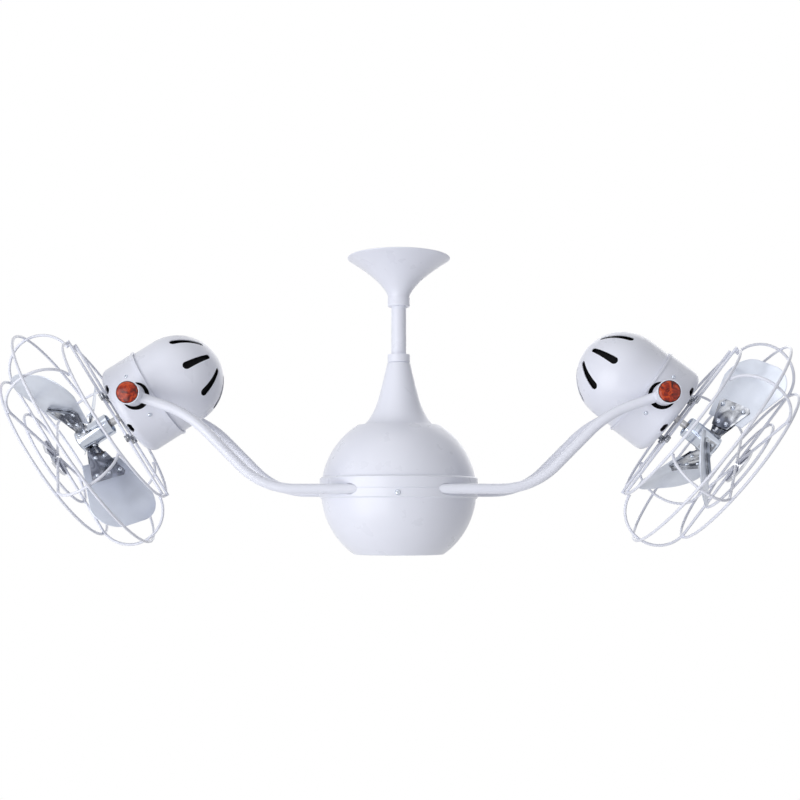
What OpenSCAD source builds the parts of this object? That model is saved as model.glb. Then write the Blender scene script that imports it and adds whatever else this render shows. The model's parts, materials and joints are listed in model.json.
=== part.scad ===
// Twin head ceiling fan: two caged fans on a freely turning ball, hung from a ceiling canopy.
// Millimetres, +Z up, origin at the middle of the canopy's rim on the ceiling.

/* [Canopy and downrod] */
// Radius of the canopy's rim on the ceiling
canopy_r = 69.8; // [62:0.1:80]
// Height of the canopy, rim to neck
canopy_h = 54.8; // [50:0.1:70]
// Radius of the canopy's neck
canopy_neck_r = 14.4; // [13.5:0.1:16]
// Wall of the spun canopy
canopy_wall = 1; // [0.8:0.1:1.5]
// How hard the trumpet flares towards its rim
canopy_flare = 1.55; // [1.4:0.01:1.7]
// Outside diameter of the downrod
rod_d = 20.2; // [19:0.1:21]
// Wall of the downrod
rod_wall = 2; // [1.5:0.1:3]
// Bare downrod that shows between the two collars
rod_show = 65.6; // [40:0.1:300]
// Height of the canopy's collar
canopy_collar_h = 12.3; // [8:0.1:16]
// Radius of the canopy's collar
canopy_collar_r = 15.1; // [14:0.1:17]
// Height of the collar over the neck cone
rod_collar_h = 11.1; // [8:0.1:16]
// Radius of the collar over the neck cone
rod_collar_r = 15.2; // [14:0.1:17]

/* [Ceiling bracket] */
// Length of the crossbar
bracket_l = 116; // [104:1:120]
// Width of the crossbar
bracket_w = 36; // [28:1:40]
// Thickness of the crossbar's steel
bracket_t = 2; // [1.5:0.1:2.5]
// Distance between the two screw slots
slot_pitch = 88.9; // [80:0.1:92]
// Width of a screw slot
slot_w = 5; // [4:0.1:6]
// Length of a screw slot, end to end
slot_l = 12; // [8:0.1:16]
// Radius of the hanger ball
hanger_ball_r = 18; // [16:0.1:19]
// Radius of the ring that the hanger ball sits in
seat_r = 23; // [21:0.1:24]
// Height of that ring
seat_h = 6; // [4:0.1:7]
// Diameter of the pin through the rod and the hanger ball
pin_d = 6; // [4:0.1:7]

/* [Neck cone] */
// Height of the neck cone
neck_h = 84.1; // [78:0.1:100]
// Radius of the neck cone's top
neck_top_r = 15.5; // [15:0.1:17]
// Widening of the cone per millimetre of height
neck_slope = 0.235; // [0.22:0.001:0.26]
// Extra radius of the flare at the cone's foot
neck_flare = 11.7; // [8:0.1:14]
// How late the foot flares
neck_flare_power = 5.5; // [4:0.1:7]
// Wall of the cone
neck_wall = 1.2; // [1:0.1:1.6]

/* [Ball] */
// Outer radius of the ball
ball_r = 103.4; // [100:0.1:110]
// Wall of the ball's two shells
ball_wall = 1.2; // [1:0.1:2]
// Height of the ball's flat top above its centre
ball_top = 86.6; // [84:0.1:88]
// Depth of the ball's flat bottom below its centre
ball_bottom = 84.8; // [80:0.1:88]
// Rounding of the ball's lower corner
ball_corner_r = 5; // [3:0.1:8]
// Outer radius of the raised belt
belt_r = 105.5; // [105:0.1:107]
// Height of the belt's upper half
belt_up = 15.9; // [13:0.1:18]
// Height of the belt's lower half
belt_down = 12.8; // [11:0.1:16]
// Width of the belt's sloping edges
belt_edge = 2; // [1:0.1:3]
// Height of the shells' seam above the arms' centre line
seam_rise = 1.4; // [0:0.1:3]

/* [Arms] */
// Outside diameter of the arm tubes
arm_d = 13; // [12:0.1:14]
// Wall of the arm tubes
arm_wall = 1.4; // [1:0.1:2]
// Distance of each tube from the fan's middle plane
arm_y = 85; // [83:0.1:86]
// How far out the tubes run level
arm_level = 130; // [120:0.5:150]
// Radius of the lower bend
arm_bend_r = 100; // [80:1:120]
// Slope of the straight rise
arm_rise = 45; // [40:1:48]
// Length of the straight rise
arm_rise_l = 61; // [40:1:90]
// Radius of the upper bend
arm_top_bend_r = 140; // [110:1:160]
// Slope at which a tube meets its hub
arm_end_slope = 19; // [15:1:25]
// Straight length that meets the hub's middle
arm_end_l = 46; // [40:1:60]
// Radius of the pivot hubs
hub_r = 14.6; // [14.4:0.1:15.2]
// Length of a pivot hub
hub_l = 33; // [28:0.1:35]
// Radius of the pivot's bore in a hub
pivot_bore_r = 6.05; // [5.5:0.05:7]
// Radius of the bezel round a stone
bezel_r = 15.4; // [15.3:0.1:17]
// Depth of the bezel in front of its hub
bezel_h = 4; // [3:0.1:6]
// Height of the polished stone above its bezel
stone_rise = 2.6; // [1:0.1:5]

/* [Heads] */
// Angle of the left head below level
left_tilt = 32.6; // [0:0.1:60]
// Angle of the right head below level
right_tilt = 38; // [0:0.1:60]
// Outer radius of the motor drum
drum_r = 63.5; // [62:0.1:66]
// Wall of the drum and the dome
drum_wall = 1.2; // [1:0.1:1.6]
// Drum's front face, forward of the pivot
drum_front = 33; // [31:0.1:36]
// Drum's lip, behind the pivot
drum_back = 20.7; // [20:0.1:24]
// Rounding of the drum's front corner
drum_corner_r = 13; // [10:0.1:16]
// Radius of the side holes behind the hubs
side_hole_r = 18; // [16:0.1:18.5]
// Outer radius of the rear dome
dome_r = 61.5; // [60:0.1:62]
// Straight part of the dome behind the lip
dome_straight = 29.8; // [24:0.1:36]
// Slots round the dome
dome_slots = 8; // [6:1:10]
// Half width of a slot's wide end
slot_wide_r = 5.2; // [4:0.1:6]
// Half width of a slot's narrow end
slot_narrow_r = 3.2; // [2:0.1:4]
// Vents round the drum's front corner
drum_vents = 6; // [4:1:8]
// Radius of a corner vent
vent_r = 4.6; // [3:0.1:6]

/* [Guards] */
// Diameter of the guard wire
wire_d = 3.8; // [3:0.1:4.2]
// Ribs on one guard
ribs = 6; // [5:1:8]
// Radius of a rib's rounded edge
rib_bend_r = 44; // [40:0.1:48]
// Distance of that bend's middle from the head's axis
rib_bend_out = 115.2; // [110:0.1:120]
// Distance of that bend's middle forward of the pivot
rib_bend_fwd = 95.5; // [92:0.1:100]
// Radius of the rear ring
rear_ring_r = 121.7; // [116:0.1:126]
// Radius of the outer ring on the front
front_ring_r = 120.5; // [117:0.1:124]
// Radius of the inner ring on the front
inner_ring_r = 69.5; // [50:0.1:90]
// Half distance between the two bridge wires
bridge_half = 17.5; // [12:0.1:22]
// Distance of the guard's clamps from the head's axis
clamp_out = 33; // [26:0.1:40]
// Radius of the front plate
badge_r = 27; // [20:0.1:34]
// Thickness of the front plate
badge_t = 4; // [3:0.1:5]

/* [Blades] */
// Blades on one head
blades = 3; // [2:1:4]
// Radius of the blade tips
blade_tip_r = 136; // [125:0.5:138]
// Widest part of a blade
blade_w = 100; // [80:0.5:102]
// Thickness of a blade
blade_t = 1.2; // [1:0.1:2]
// Radius that a blade's cross section is bent to
blade_camber_r = 400; // [300:1:600]
// Twist of a blade out of the disc's plane
blade_pitch = 52; // [40:0.5:53]
// Angle of the left head's first blade about its axis
left_phase = 24; // [0:1:119]
// Angle of the right head's first blade about its axis
right_phase = 104; // [0:1:119]
// Radius of the blade hub
blade_hub_r = 15; // [14:0.1:16]
// Blade hub's back, forward of the pivot
blade_hub_back = 56; // [54:0.1:60]
// Length of the blade hub
blade_hub_l = 49; // [47:0.1:52]
// Middle of the blades, forward of the pivot
blade_fwd = 92.5; // [91:0.1:94]
// Radius of the motor shaft
shaft_r = 5; // [4:0.1:6]

/* [Hidden] */
$fn = 64;

LEFT = -1;
RIGHT = 1;
FRONT = -1;
REAR = 1;
fit = 0.05;       // radial clearance of a pin, shaft or bush in its hole
seat_gap = 0.1;   // gap where one loose piece rests on another
run_gap = 0.8;    // gap under the neck cone, where the ball turns
loose = 0.1;      // extra radius of a hole that a screw passes with play
through = 1;      // how far a cutting tool runs past the face that it cuts
far = 400;        // longer than anything on the fan

painted = [0.89, 0.89, 0.93];
chromed = [0.80, 0.81, 0.84];
bare_steel = [0.62, 0.62, 0.64];
blade_metal = [0.82, 0.85, 0.90];
moulded = [0.20, 0.20, 0.22];
stone_red = [0.50, 0.13, 0.09];
bronze = [0.60, 0.45, 0.25];

// Heights down the middle, from the ceiling.
rod_r = rod_d / 2;
rod_hole_r = rod_r + fit;
canopy_edge = 1.2;
canopy_collar_top = -canopy_h - seat_gap;
rod_collar_top = canopy_collar_top - canopy_collar_h - rod_show;
neck_top = rod_collar_top - rod_collar_h - seat_gap;
neck_foot = neck_top - neck_h;
ball_z = neck_foot - run_gap - ball_top;
rod_top = -2 * bracket_t;
hanger_room = 1;
hanger_z = rod_top - hanger_room - hanger_ball_r * 2 / 3;
pin_z = hanger_z + hanger_ball_r / 6;

// The coupling holds up the neck cone where the cone's inside has its own radius.
coupling_r = 18;
coupling_drop = (coupling_r + neck_wall * sqrt(1 + neck_slope * neck_slope) + seat_gap - neck_top_r)
    / neck_slope;
coupling_top = neck_top - coupling_drop;
coupling_l = 51;
coupling_foot = coupling_top - coupling_l;
rod_depth = 34;
rod_foot = coupling_top - rod_depth;
coupling_bolt_up = 9;
coupling_bolt_z = rod_foot + coupling_bolt_up;
coupling_bolt_r = 3;

// Spindle and the bearings that the ball turns on.
spindle_r = 10;
spindle_stud_r = 8;
spindle_bore_r = 4;
bearing_r = 21;
bearing_h = 12;
race_t = 3.6;
bearing_ball_r = 1.8;
bearing_balls = 10;
ball_seat = 0.1;
ball_run = 0.4;
hub_rise = 50;
race_drop = 28;
hub_ledge = 2;
hub_top = ball_z + hub_rise;
upper_race_foot = hub_top - bearing_h;
lower_race_foot = ball_z - race_drop;
hub_foot = lower_race_foot - hub_ledge;
carrier_r = 28;
nut_h = 8;
nut_r = 14;
nut_washer_h = 2;
thread_past = 3;
spindle_foot = lower_race_foot - nut_washer_h - nut_h - thread_past;
ring_drum_r = 16;
ring_drum_h = 24;
ring_room = 3;
ring_t = 1;
ring_drum_foot = hub_top + ring_room;
ring_r = ring_drum_r + ring_t;
ring_h = 3;
ring_pitch = 7;
ring_count = 3;
first_ring = ring_drum_foot + (ring_drum_h - (ring_count - 1) * ring_pitch - ring_h) / 2;

// The upper shell's skirt reaches down inside the lower shell's belt.
lap_r = ball_r + loose;
lap_down = belt_down - ball_wall;
belt_screw_r = 2;
belt_screw_down = belt_down / 2 - seam_rise;
mouth_lap = 6;
mouth_r = neck_radius(neck_h) - mouth_lap;
seam_groove = 0.5;

// Arms: each tube's centre line runs level, bends up, rises, bends back and meets its hub.
arm_r = arm_d / 2;
arm_start = 8;
joint_bead = 0.02; // a hair's swelling where two lengths of tube run together
arm_room = 0.5;
arm_hole_r = arm_r + arm_room;
boss_half = 30;
boss_r = 10.5;
set_screw_r = 2.5;
set_screw_x = (arm_start + boss_half) / 2;
bend_end_x = arm_level + arm_bend_r * sin(arm_rise);
bend_end_z = arm_bend_r * (1 - cos(arm_rise));
rise_end_x = bend_end_x + arm_rise_l * cos(arm_rise);
rise_end_z = bend_end_z + arm_rise_l * sin(arm_rise);
top_end_x = rise_end_x + arm_top_bend_r * (sin(arm_rise) - sin(arm_end_slope));
top_end_z = rise_end_z + arm_top_bend_r * (cos(arm_end_slope) - cos(arm_rise));
pivot_x = top_end_x + arm_end_l * cos(arm_end_slope);
pivot_z = ball_z + top_end_z + arm_end_l * sin(arm_end_slope);
hub_behind = 12;
hub_in = arm_y - hub_behind;
hub_out = hub_in + hub_l;
pocket_wall = 1.3;
pocket_r = hub_r - pocket_wall;
pocket_depth = 9;
bezel_wall = 1.5;
stone_r = bezel_r - bezel_wall;
stone_seat = 2.8;
stone_floor = hub_out + bezel_h - stone_seat;

// Motor in each head, on the head's own axis with the pivot at 0.
washer_t = 3;
trunnion_r = pivot_bore_r - fit;
trunnion_boss_r = 11;
trunnion_boss_end = hub_in - washer_t - 2 * seat_gap;
pocket_floor = hub_out - pocket_depth;
trunnion_past = 6.5;
trunnion_end = pocket_floor + trunnion_past;
frame_room = 6.3;
frame_wall = 10;
frame_r = drum_r - drum_wall - frame_room;
frame_back = -18;
frame_front = 18;
bell_t = 4;
bell_boss_r = 12;
bell_boss_past = 1;
bell_boss_front = drum_front + bell_boss_past;
bell_boss_back = -32;
stator_r = frame_r - frame_wall;
stator_bore_r = 27;
stator_half = 14;
stator_slots = 12;
air_gap = 0.5;
rotor_r = stator_bore_r - air_gap;
bush_r = 9;
bush_l = 9;
shell_screw_angle = 28;
shell_screw_back = 2;
shell_screw_r = 1.5;
shell_screw_l = 6;
lug_r = 5;
dome_in = 7;
dome_rim = -drum_back + dome_in;
dome_mid = -drum_back - dome_straight;
vent_turn = 30; // puts a corner vent on each side of the pivots
slot_turn = 0; // puts a slot in line with each pivot
slot_wide_at = 65; // angle of a slot's wide end from the dome's top
slot_narrow_at = 29; // angle of its narrow end

// Guard, on the head's own axis.
wire_r = wire_d / 2;
weld_gap = 0.06;
wire_step = wire_d + weld_gap;
rib_front = rib_bend_fwd + rib_bend_r;
rib_past = 1.8; // how far a rib runs on past the rear ring, in degrees
rib_foot_angle = 180 + rib_past
    - asin((rear_ring_r - rib_bend_out) / (rib_bend_r + wire_step));
rib_in = 6.4;
rear_ring_z = rib_bend_fwd
    - sqrt(pow(rib_bend_r + wire_step, 2) - pow(rear_ring_r - rib_bend_out, 2));
rim_ring_r = rib_bend_out + rib_bend_r + wire_step;
front_ring_z = rib_bend_fwd
    + sqrt(pow(rib_bend_r + wire_step, 2) - pow(front_ring_r - rib_bend_out, 2));
inner_ring_z = rib_front + wire_step;
bridge_z = rear_ring_z - wire_step;
bridge_half_l = sqrt(rear_ring_r * rear_ring_r - bridge_half * bridge_half) + wire_r;
plate_back = rib_front + wire_r + weld_gap;
clamp_t = 1.6;
clamp_w = 9;
clamp_bolt_r = 2;
clamp_bolt_room = 3;
clamp_bolt_foot = frame_front + clamp_bolt_room;

// Blades and irons, in the rotor's frame.
hub_nose = 6;
shaft_end = blade_hub_back + blade_hub_l - hub_nose;
iron_t = 2;
iron_lip = 3;
iron_root_w = 18;
iron_end_w = 54;
iron_end_r = 66;
backing_t = 1.2;
backing_in = 26;
blade_root_r = 38;
blade_root_w = 58;
blade_tip_corner = 36;
iron_foot_w = 19;
iron_foot_h = 17;
iron_screw_r = 2;
outer_screw_in = 8;
outer_screw_y = 18;
inner_screw_x = 33;
inner_screw_y = 7;
outer_screw_x = iron_end_r - outer_screw_in;
iron_screws = [[outer_screw_x, -outer_screw_y], [outer_screw_x, 0], [outer_screw_x, outer_screw_y],
               [inner_screw_x, -inner_screw_y], [inner_screw_x, inner_screw_y]];
foot_screw_turn = 18;
foot_screw_z = 4;

// ---------------------------------------------------------------- placing

// A head's own frame: z forward along its axis, x along the pivot, y up, pivot at 0.
module on_head(side) {
    translate([side * pivot_x, 0, pivot_z])
        rotate([0, 0, side == RIGHT ? 0 : 180])
            rotate([0, side == RIGHT ? right_tilt : left_tilt, 0])
                rotate([90, 0, 90])
                    children();
}

// The side nearer the viewer is a front one, and the far side mirrors it by a half turn.
module at_hub(side, face) {
    translate([side * pivot_x, 0, pivot_z])
        rotate([face == FRONT ? 90 : -90, 0, 0])
            children();
}

module around(count, start = 0) {
    for (i = [0 : count - 1])
        rotate([0, 0, start + i * 360 / count])
            children();
}

module tube(outer, inner, h) {
    difference() {
        cylinder(r = outer, h = h);
        translate([0, 0, -through])
            cylinder(r = inner, h = h + 2 * through);
    }
}

module ring_wire(r, z, wire) {
    translate([0, 0, z])
        rotate_extrude()
            translate([r, 0])
                circle(r = wire);
}

// A low domed screw head with its flat side at z = 0.
module domed_head(r, rise) {
    cap_r = (r * r + rise * rise) / (2 * rise);
    intersection() {
        translate([0, 0, rise - cap_r])
            sphere(r = cap_r);
        cylinder(r = r + through, h = rise + through);
    }
}

// ---------------------------------------------------------------- hanging parts

function canopy_point(t) = [
    canopy_neck_r + (canopy_r - canopy_neck_r) * pow(1 - t, canopy_flare),
    -canopy_edge - (canopy_h - canopy_edge) * t
];
function canopy_slope(t) = -canopy_flare * (canopy_r - canopy_neck_r) * pow(1 - t, canopy_flare - 1)
    / (canopy_h - canopy_edge);
function canopy_inner(t) =
    let (p = canopy_point(t), m = canopy_slope(t), n = sqrt(1 + m * m))
    [p[0] - canopy_wall / n, p[1] - canopy_wall * m / n];

module canopy() {
    steps = 20;
    last = 0.999;
    color(painted)
        rotate_extrude()
            intersection() {
                polygon(concat(
                    [[canopy_r, 0]],
                    [for (i = [0 : steps]) canopy_point(last * i / steps)],
                    [for (i = [steps : -1 : 0]) canopy_inner(last * i / steps)],
                    [[canopy_r - 2 * canopy_wall, canopy_wall]]));
                translate([0, -canopy_h])
                    square([canopy_r, canopy_h]);
            }
}

module ceiling_bracket() {
    leg_x = seat_r - 3;
    leg_w = 14;
    seat_foot = hanger_z - hanger_ball_r * 3 / 4;
    mouth_half = rod_hole_r + 1;
    slot_half = (slot_l - slot_w) / 2;
    color(bare_steel) {
        difference() {
            translate([-bracket_l / 2, -bracket_w / 2, -bracket_t])
                cube([bracket_l, bracket_w, bracket_t]);
            for (s = [LEFT, RIGHT])
                translate([s * slot_pitch / 2, 0, -bracket_t - through]) {
                    for (e = [LEFT, RIGHT])
                        translate([e * slot_half, 0, 0])
                            cylinder(d = slot_w, h = bracket_t + 2 * through);
                    translate([-slot_half, -slot_w / 2, 0])
                        cube([2 * slot_half, slot_w, bracket_t + 2 * through]);
                }
            translate([0, 0, -bracket_t - through])
                cylinder(r = rod_r, h = bracket_t + 2 * through);
        }
        for (s = [LEFT, RIGHT])
            translate([s * leg_x - bracket_t / 2, -leg_w / 2, seat_foot + seat_h])
                cube([bracket_t, leg_w, -seat_foot - seat_h - bracket_t]);
        difference() {
            translate([0, 0, seat_foot])
                cylinder(r = seat_r, h = seat_h);
            translate([0, 0, hanger_z])
                sphere(r = hanger_ball_r + fit);
            translate([0, 0, seat_foot - through])
                cylinder(r = mouth_half, h = seat_h + 2 * through);
            translate([-mouth_half, -far, seat_foot - through])
                cube([2 * mouth_half, far, seat_h + 2 * through]);
        }
    }
}

module hanger_ball() {
    color(moulded)
        difference() {
            translate([0, 0, hanger_z])
                sphere(r = hanger_ball_r);
            translate([0, 0, hanger_z + hanger_ball_r * 0.45])
                cylinder(r = hanger_ball_r, h = hanger_ball_r);
            translate([0, 0, hanger_z - hanger_ball_r - through])
                cylinder(r = hanger_ball_r, h = hanger_ball_r / 4);
            translate([0, 0, hanger_z - hanger_ball_r - through])
                cylinder(r = rod_hole_r, h = 3 * hanger_ball_r);
            translate([0, 0, pin_z])
                rotate([0, 90, 0])
                    cylinder(d = pin_d + 2 * fit, h = 3 * hanger_ball_r, center = true);
            translate([-1.5 * hanger_ball_r, -pin_d / 2 - fit, pin_z])
                cube([3 * hanger_ball_r, pin_d + 2 * fit, hanger_ball_r]);
        }
}

module hanger_pin() {
    pin_l = 2 * hanger_ball_r - 4;
    color(bare_steel)
        translate([0, 0, pin_z])
            rotate([0, 90, 0])
                cylinder(d = pin_d, h = pin_l, center = true);
}

module downrod() {
    color(painted)
        difference() {
            translate([0, 0, rod_foot])
                tube(rod_r, rod_r - rod_wall, rod_top - rod_foot);
            translate([0, 0, pin_z])
                rotate([0, 90, 0])
                    cylinder(d = pin_d + 2 * fit, h = 3 * rod_d, center = true);
            translate([0, 0, coupling_bolt_z])
                rotate([0, 90, 0])
                    cylinder(r = coupling_bolt_r + fit, h = 3 * rod_d, center = true);
        }
}

// A slip collar with a rounded lower edge and a sunk set screw behind.
module slip_collar(r, h, top) {
    edge = 2;
    screw_r = 2;
    sunk = 0.6;
    socket_r = 1.2;
    socket_depth = 2;
    color(painted)
        translate([0, 0, top - h])
            difference() {
                union() {
                    translate([0, 0, edge])
                        cylinder(r = r, h = h - edge);
                    cylinder(r = r - edge, h = edge);
                    rotate_extrude()
                        translate([r - edge, edge])
                            circle(r = edge);
                }
                translate([0, 0, -through])
                    cylinder(r = rod_hole_r, h = h + 2 * through);
                translate([0, 0, h / 2])
                    rotate([-90, 0, 0]) {
                        translate([0, 0, r - sunk])
                            cylinder(r = screw_r, h = r);
                        translate([0, 0, r - sunk - socket_depth])
                            cylinder(r = socket_r, h = r, $fn = 6);
                    }
            }
}

module canopy_collar() {
    slip_collar(canopy_collar_r, canopy_collar_h, canopy_collar_top);
}

module rod_collar() {
    slip_collar(rod_collar_r, rod_collar_h, rod_collar_top);
}

function neck_radius(s) = neck_top_r + neck_slope * s + neck_flare * pow(s / neck_h, neck_flare_power);
function neck_widening(s) = neck_slope
    + neck_flare * neck_flare_power / neck_h * pow(s / neck_h, neck_flare_power - 1);
function neck_inner(s) =
    let (m = neck_widening(s), n = sqrt(1 + m * m))
    [neck_radius(s) - neck_wall / n, -s - neck_wall * m / n];

module neck_cone() {
    steps = 24;
    top_t = 1.5;
    color(painted)
        translate([0, 0, neck_top]) {
            rotate_extrude()
                intersection() {
                    polygon(concat(
                        [for (i = [0 : steps]) [neck_radius(neck_h * i / steps), -neck_h * i / steps]],
                        [for (i = [steps : -1 : 0]) neck_inner(neck_h * i / steps)],
                        [[neck_top_r - neck_wall, neck_wall]]));
                    translate([0, -neck_h])
                        square([far, neck_h]);
                }
            translate([0, 0, -top_t])
                tube(neck_top_r - neck_wall / 2, rod_r + 2 * fit, top_t);
        }
}

module coupling() {
    color(bare_steel)
        difference() {
            translate([0, 0, coupling_foot])
                cylinder(r = coupling_r, h = coupling_l);
            translate([0, 0, rod_foot])
                cylinder(r = rod_hole_r, h = far);
            translate([0, 0, coupling_foot - through])
                cylinder(r = spindle_stud_r + fit, h = far);
            translate([0, 0, coupling_bolt_z])
                rotate([0, 90, 0])
                    cylinder(r = coupling_bolt_r + fit, h = 3 * coupling_r, center = true);
        }
}

module coupling_bolt() {
    head_r = 4.6;
    head_h = 2.4;
    grip = coupling_r + seat_gap;
    color(chromed)
        translate([0, 0, coupling_bolt_z])
            rotate([0, 90, 0]) {
                cylinder(r = coupling_bolt_r, h = 2 * grip, center = true);
                for (foot = [-grip - head_h, grip])
                    translate([0, 0, foot])
                        cylinder(r = head_r, h = head_h, $fn = 6);
            }
}

module spindle() {
    stud_top = rod_foot - seat_gap;
    wire_port_z = ring_drum_foot + ring_drum_h / 2;
    wire_port_r = 3;
    color(bare_steel)
        difference() {
            union() {
                translate([0, 0, spindle_foot])
                    cylinder(r = spindle_stud_r, h = stud_top - spindle_foot);
                translate([0, 0, lower_race_foot])
                    cylinder(r = spindle_r, h = coupling_foot - lower_race_foot);
            }
            translate([0, 0, spindle_foot - through])
                cylinder(r = spindle_bore_r, h = far);
            translate([0, 0, wire_port_z])
                rotate([0, 90, 0])
                    cylinder(r = wire_port_r, h = 3 * spindle_r, center = true);
        }
}

module retaining_nut() {
    color(chromed)
        translate([0, 0, lower_race_foot - nut_washer_h]) {
            tube(nut_r, spindle_stud_r + fit, nut_washer_h);
            translate([0, 0, -nut_h])
                difference() {
                    cylinder(r = nut_r, h = nut_h, $fn = 6);
                    translate([0, 0, -through])
                        cylinder(r = spindle_stud_r + fit, h = nut_h + 2 * through);
                }
        }
}

module slip_rings() {
    color(bronze)
        difference() {
            union() {
                translate([0, 0, ring_drum_foot])
                    cylinder(r = ring_drum_r, h = ring_drum_h);
                for (i = [0 : ring_count - 1])
                    translate([0, 0, first_ring + i * ring_pitch])
                        cylinder(r = ring_r, h = ring_h);
            }
            translate([0, 0, ring_drum_foot - through])
                cylinder(r = spindle_r + fit, h = ring_drum_h + 2 * through);
        }
}

// The two races between inner and outer, each with a groove round for its balls.
module race_pair(inner, outer, play) {
    for (z = [upper_race_foot, lower_race_foot])
        translate([0, 0, z])
            rotate_extrude()
                difference() {
                    translate([inner, 0])
                        square([outer - inner, bearing_h]);
                    translate([(spindle_r + bearing_r) / 2, bearing_h / 2])
                        circle(r = bearing_ball_r + play);
                }
}

module bearing_inner_races() {
    color(chromed)
        race_pair(spindle_r + fit, spindle_r + race_t, ball_run);
}

// ---------------------------------------------------------------- ball and arms

module bearing_outer_races() {
    color(chromed) {
        race_pair(bearing_r - race_t, bearing_r, ball_seat);
        for (z = [upper_race_foot, lower_race_foot])
            translate([0, 0, z + bearing_h / 2])
                around(bearing_balls)
                    translate([(spindle_r + bearing_r) / 2, 0, 0])
                        sphere(r = bearing_ball_r);
    }
}

// The belt's section, from its seam to its outer edge, h high, growing upwards.
module belt_section(inner, h) {
    polygon([[inner, 0], [belt_r - seam_groove, 0], [belt_r, seam_groove], [belt_r, h - belt_edge],
             [belt_r - belt_edge, h], [inner, h]]);
}

module arm_holes() {
    for (f = [FRONT, REAR])
        translate([0, f * arm_y, 0])
            rotate([0, 90, 0])
                cylinder(r = arm_hole_r, h = far, center = true);
}

module belt_screw_holes(r) {
    for (f = [FRONT, REAR])
        translate([0, 0, -belt_screw_down])
            rotate([-90 * f, 0, 0])
                cylinder(r = r, h = far);
}

module upper_shell() {
    skirt_r = lap_r - loose;
    skirt_t = 1.4;
    skirt_foot = seam_rise - lap_down + 2 * seat_gap;
    color(painted)
        translate([0, 0, ball_z])
            difference() {
                union() {
                    intersection() {
                        sphere(r = ball_r);
                        translate([0, 0, seam_rise])
                            cylinder(r = far, h = ball_top - seam_rise);
                    }
                    translate([0, 0, seam_rise])
                        rotate_extrude()
                            belt_section(ball_r / 2, belt_up);
                    translate([0, 0, skirt_foot])
                        cylinder(r = skirt_r, h = lap_down);
                }
                intersection() {
                    sphere(r = ball_r - ball_wall);
                    translate([0, 0, seam_rise])
                        cylinder(r = far, h = ball_top - ball_wall - seam_rise);
                }
                translate([0, 0, skirt_foot - through])
                    cylinder(r = skirt_r - skirt_t, h = lap_down + through);
                cylinder(r = mouth_r, h = far);
                arm_holes();
                belt_screw_holes(belt_screw_r + loose);
            }
}

module lower_shell() {
    corner_mid = ball_bottom - ball_corner_r;
    corner_in = sqrt(pow(ball_r - ball_corner_r, 2) - pow(corner_mid, 2));
    tangent_down = corner_mid * ball_r / (ball_r - ball_corner_r);
    color(painted)
        translate([0, 0, ball_z])
            difference() {
                union() {
                    intersection() {
                        sphere(r = ball_r);
                        translate([0, 0, -tangent_down])
                            cylinder(r = far, h = tangent_down + seam_rise);
                    }
                    translate([0, 0, -ball_bottom])
                        cylinder(r = corner_in, h = ball_bottom);
                    translate([0, 0, -corner_mid])
                        rotate_extrude()
                            translate([corner_in, 0])
                                circle(r = ball_corner_r);
                    translate([0, 0, seam_rise])
                        rotate_extrude()
                            mirror([0, 1])
                                belt_section(ball_r / 2, belt_down);
                }
                intersection() {
                    sphere(r = ball_r - ball_wall);
                    translate([0, 0, -ball_bottom + ball_wall])
                        cylinder(r = far, h = far);
                }
                translate([0, 0, seam_rise - lap_down])
                    cylinder(r = lap_r, h = far);
                arm_holes();
                belt_screw_holes(belt_screw_r + loose);
            }
}

module belt_screws() {
    shank_end = arm_y + arm_r - 2;
    head_r = 3.6;
    head_rise = 1.8;
    color(chromed)
        for (f = [FRONT, REAR])
            translate([0, 0, ball_z - belt_screw_down])
                rotate([-90 * f, 0, 0]) {
                    translate([0, 0, shank_end])
                        cylinder(r = belt_screw_r, h = belt_r - shank_end);
                    translate([0, 0, belt_r])
                        domed_head(head_r, head_rise);
                }
}

module arm_carrier() {
    web_w = 18;
    web_h = 14;
    wire_hole_r = 5;
    race_ledge = 1;
    color(bare_steel)
        difference() {
            union() {
                translate([0, 0, hub_foot])
                    cylinder(r = carrier_r, h = hub_top - hub_foot);
                translate([-web_w / 2, -arm_y, ball_z - web_h / 2])
                    cube([web_w, 2 * arm_y, web_h]);
                for (f = [FRONT, REAR])
                    translate([0, f * arm_y, ball_z])
                        rotate([0, 90, 0])
                            cylinder(r = boss_r, h = 2 * boss_half, center = true);
            }
            for (z = [upper_race_foot, lower_race_foot])
                translate([0, 0, z])
                    cylinder(r = bearing_r + fit, h = z == upper_race_foot ? far : bearing_h);
            translate([0, 0, hub_foot - through])
                cylinder(r = bearing_r + fit, h = bearing_h);
            translate([0, 0, hub_foot - through])
                cylinder(r = bearing_r - race_t + race_ledge, h = far);
            for (f = [FRONT, REAR])
                translate([0, f * arm_y, ball_z]) {
                    rotate([0, 90, 0])
                        cylinder(r = arm_r + fit, h = far, center = true);
                    cylinder(r = wire_hole_r, h = far);
                    for (s = [LEFT, RIGHT])
                        translate([s * set_screw_x, 0, 0])
                            cylinder(r = set_screw_r + fit, h = far);
                }
            translate([0, 0, ball_z])
                belt_screw_holes(belt_screw_r + fit);
        }
}

module arm_set_screws() {
    proud = 0.6;
    color(chromed)
        for (f = [FRONT, REAR])
            for (s = [LEFT, RIGHT])
                translate([s * set_screw_x, f * arm_y, ball_z + arm_r + seat_gap])
                    cylinder(r = set_screw_r, h = boss_r - arm_r + proud - seat_gap);
}

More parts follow.
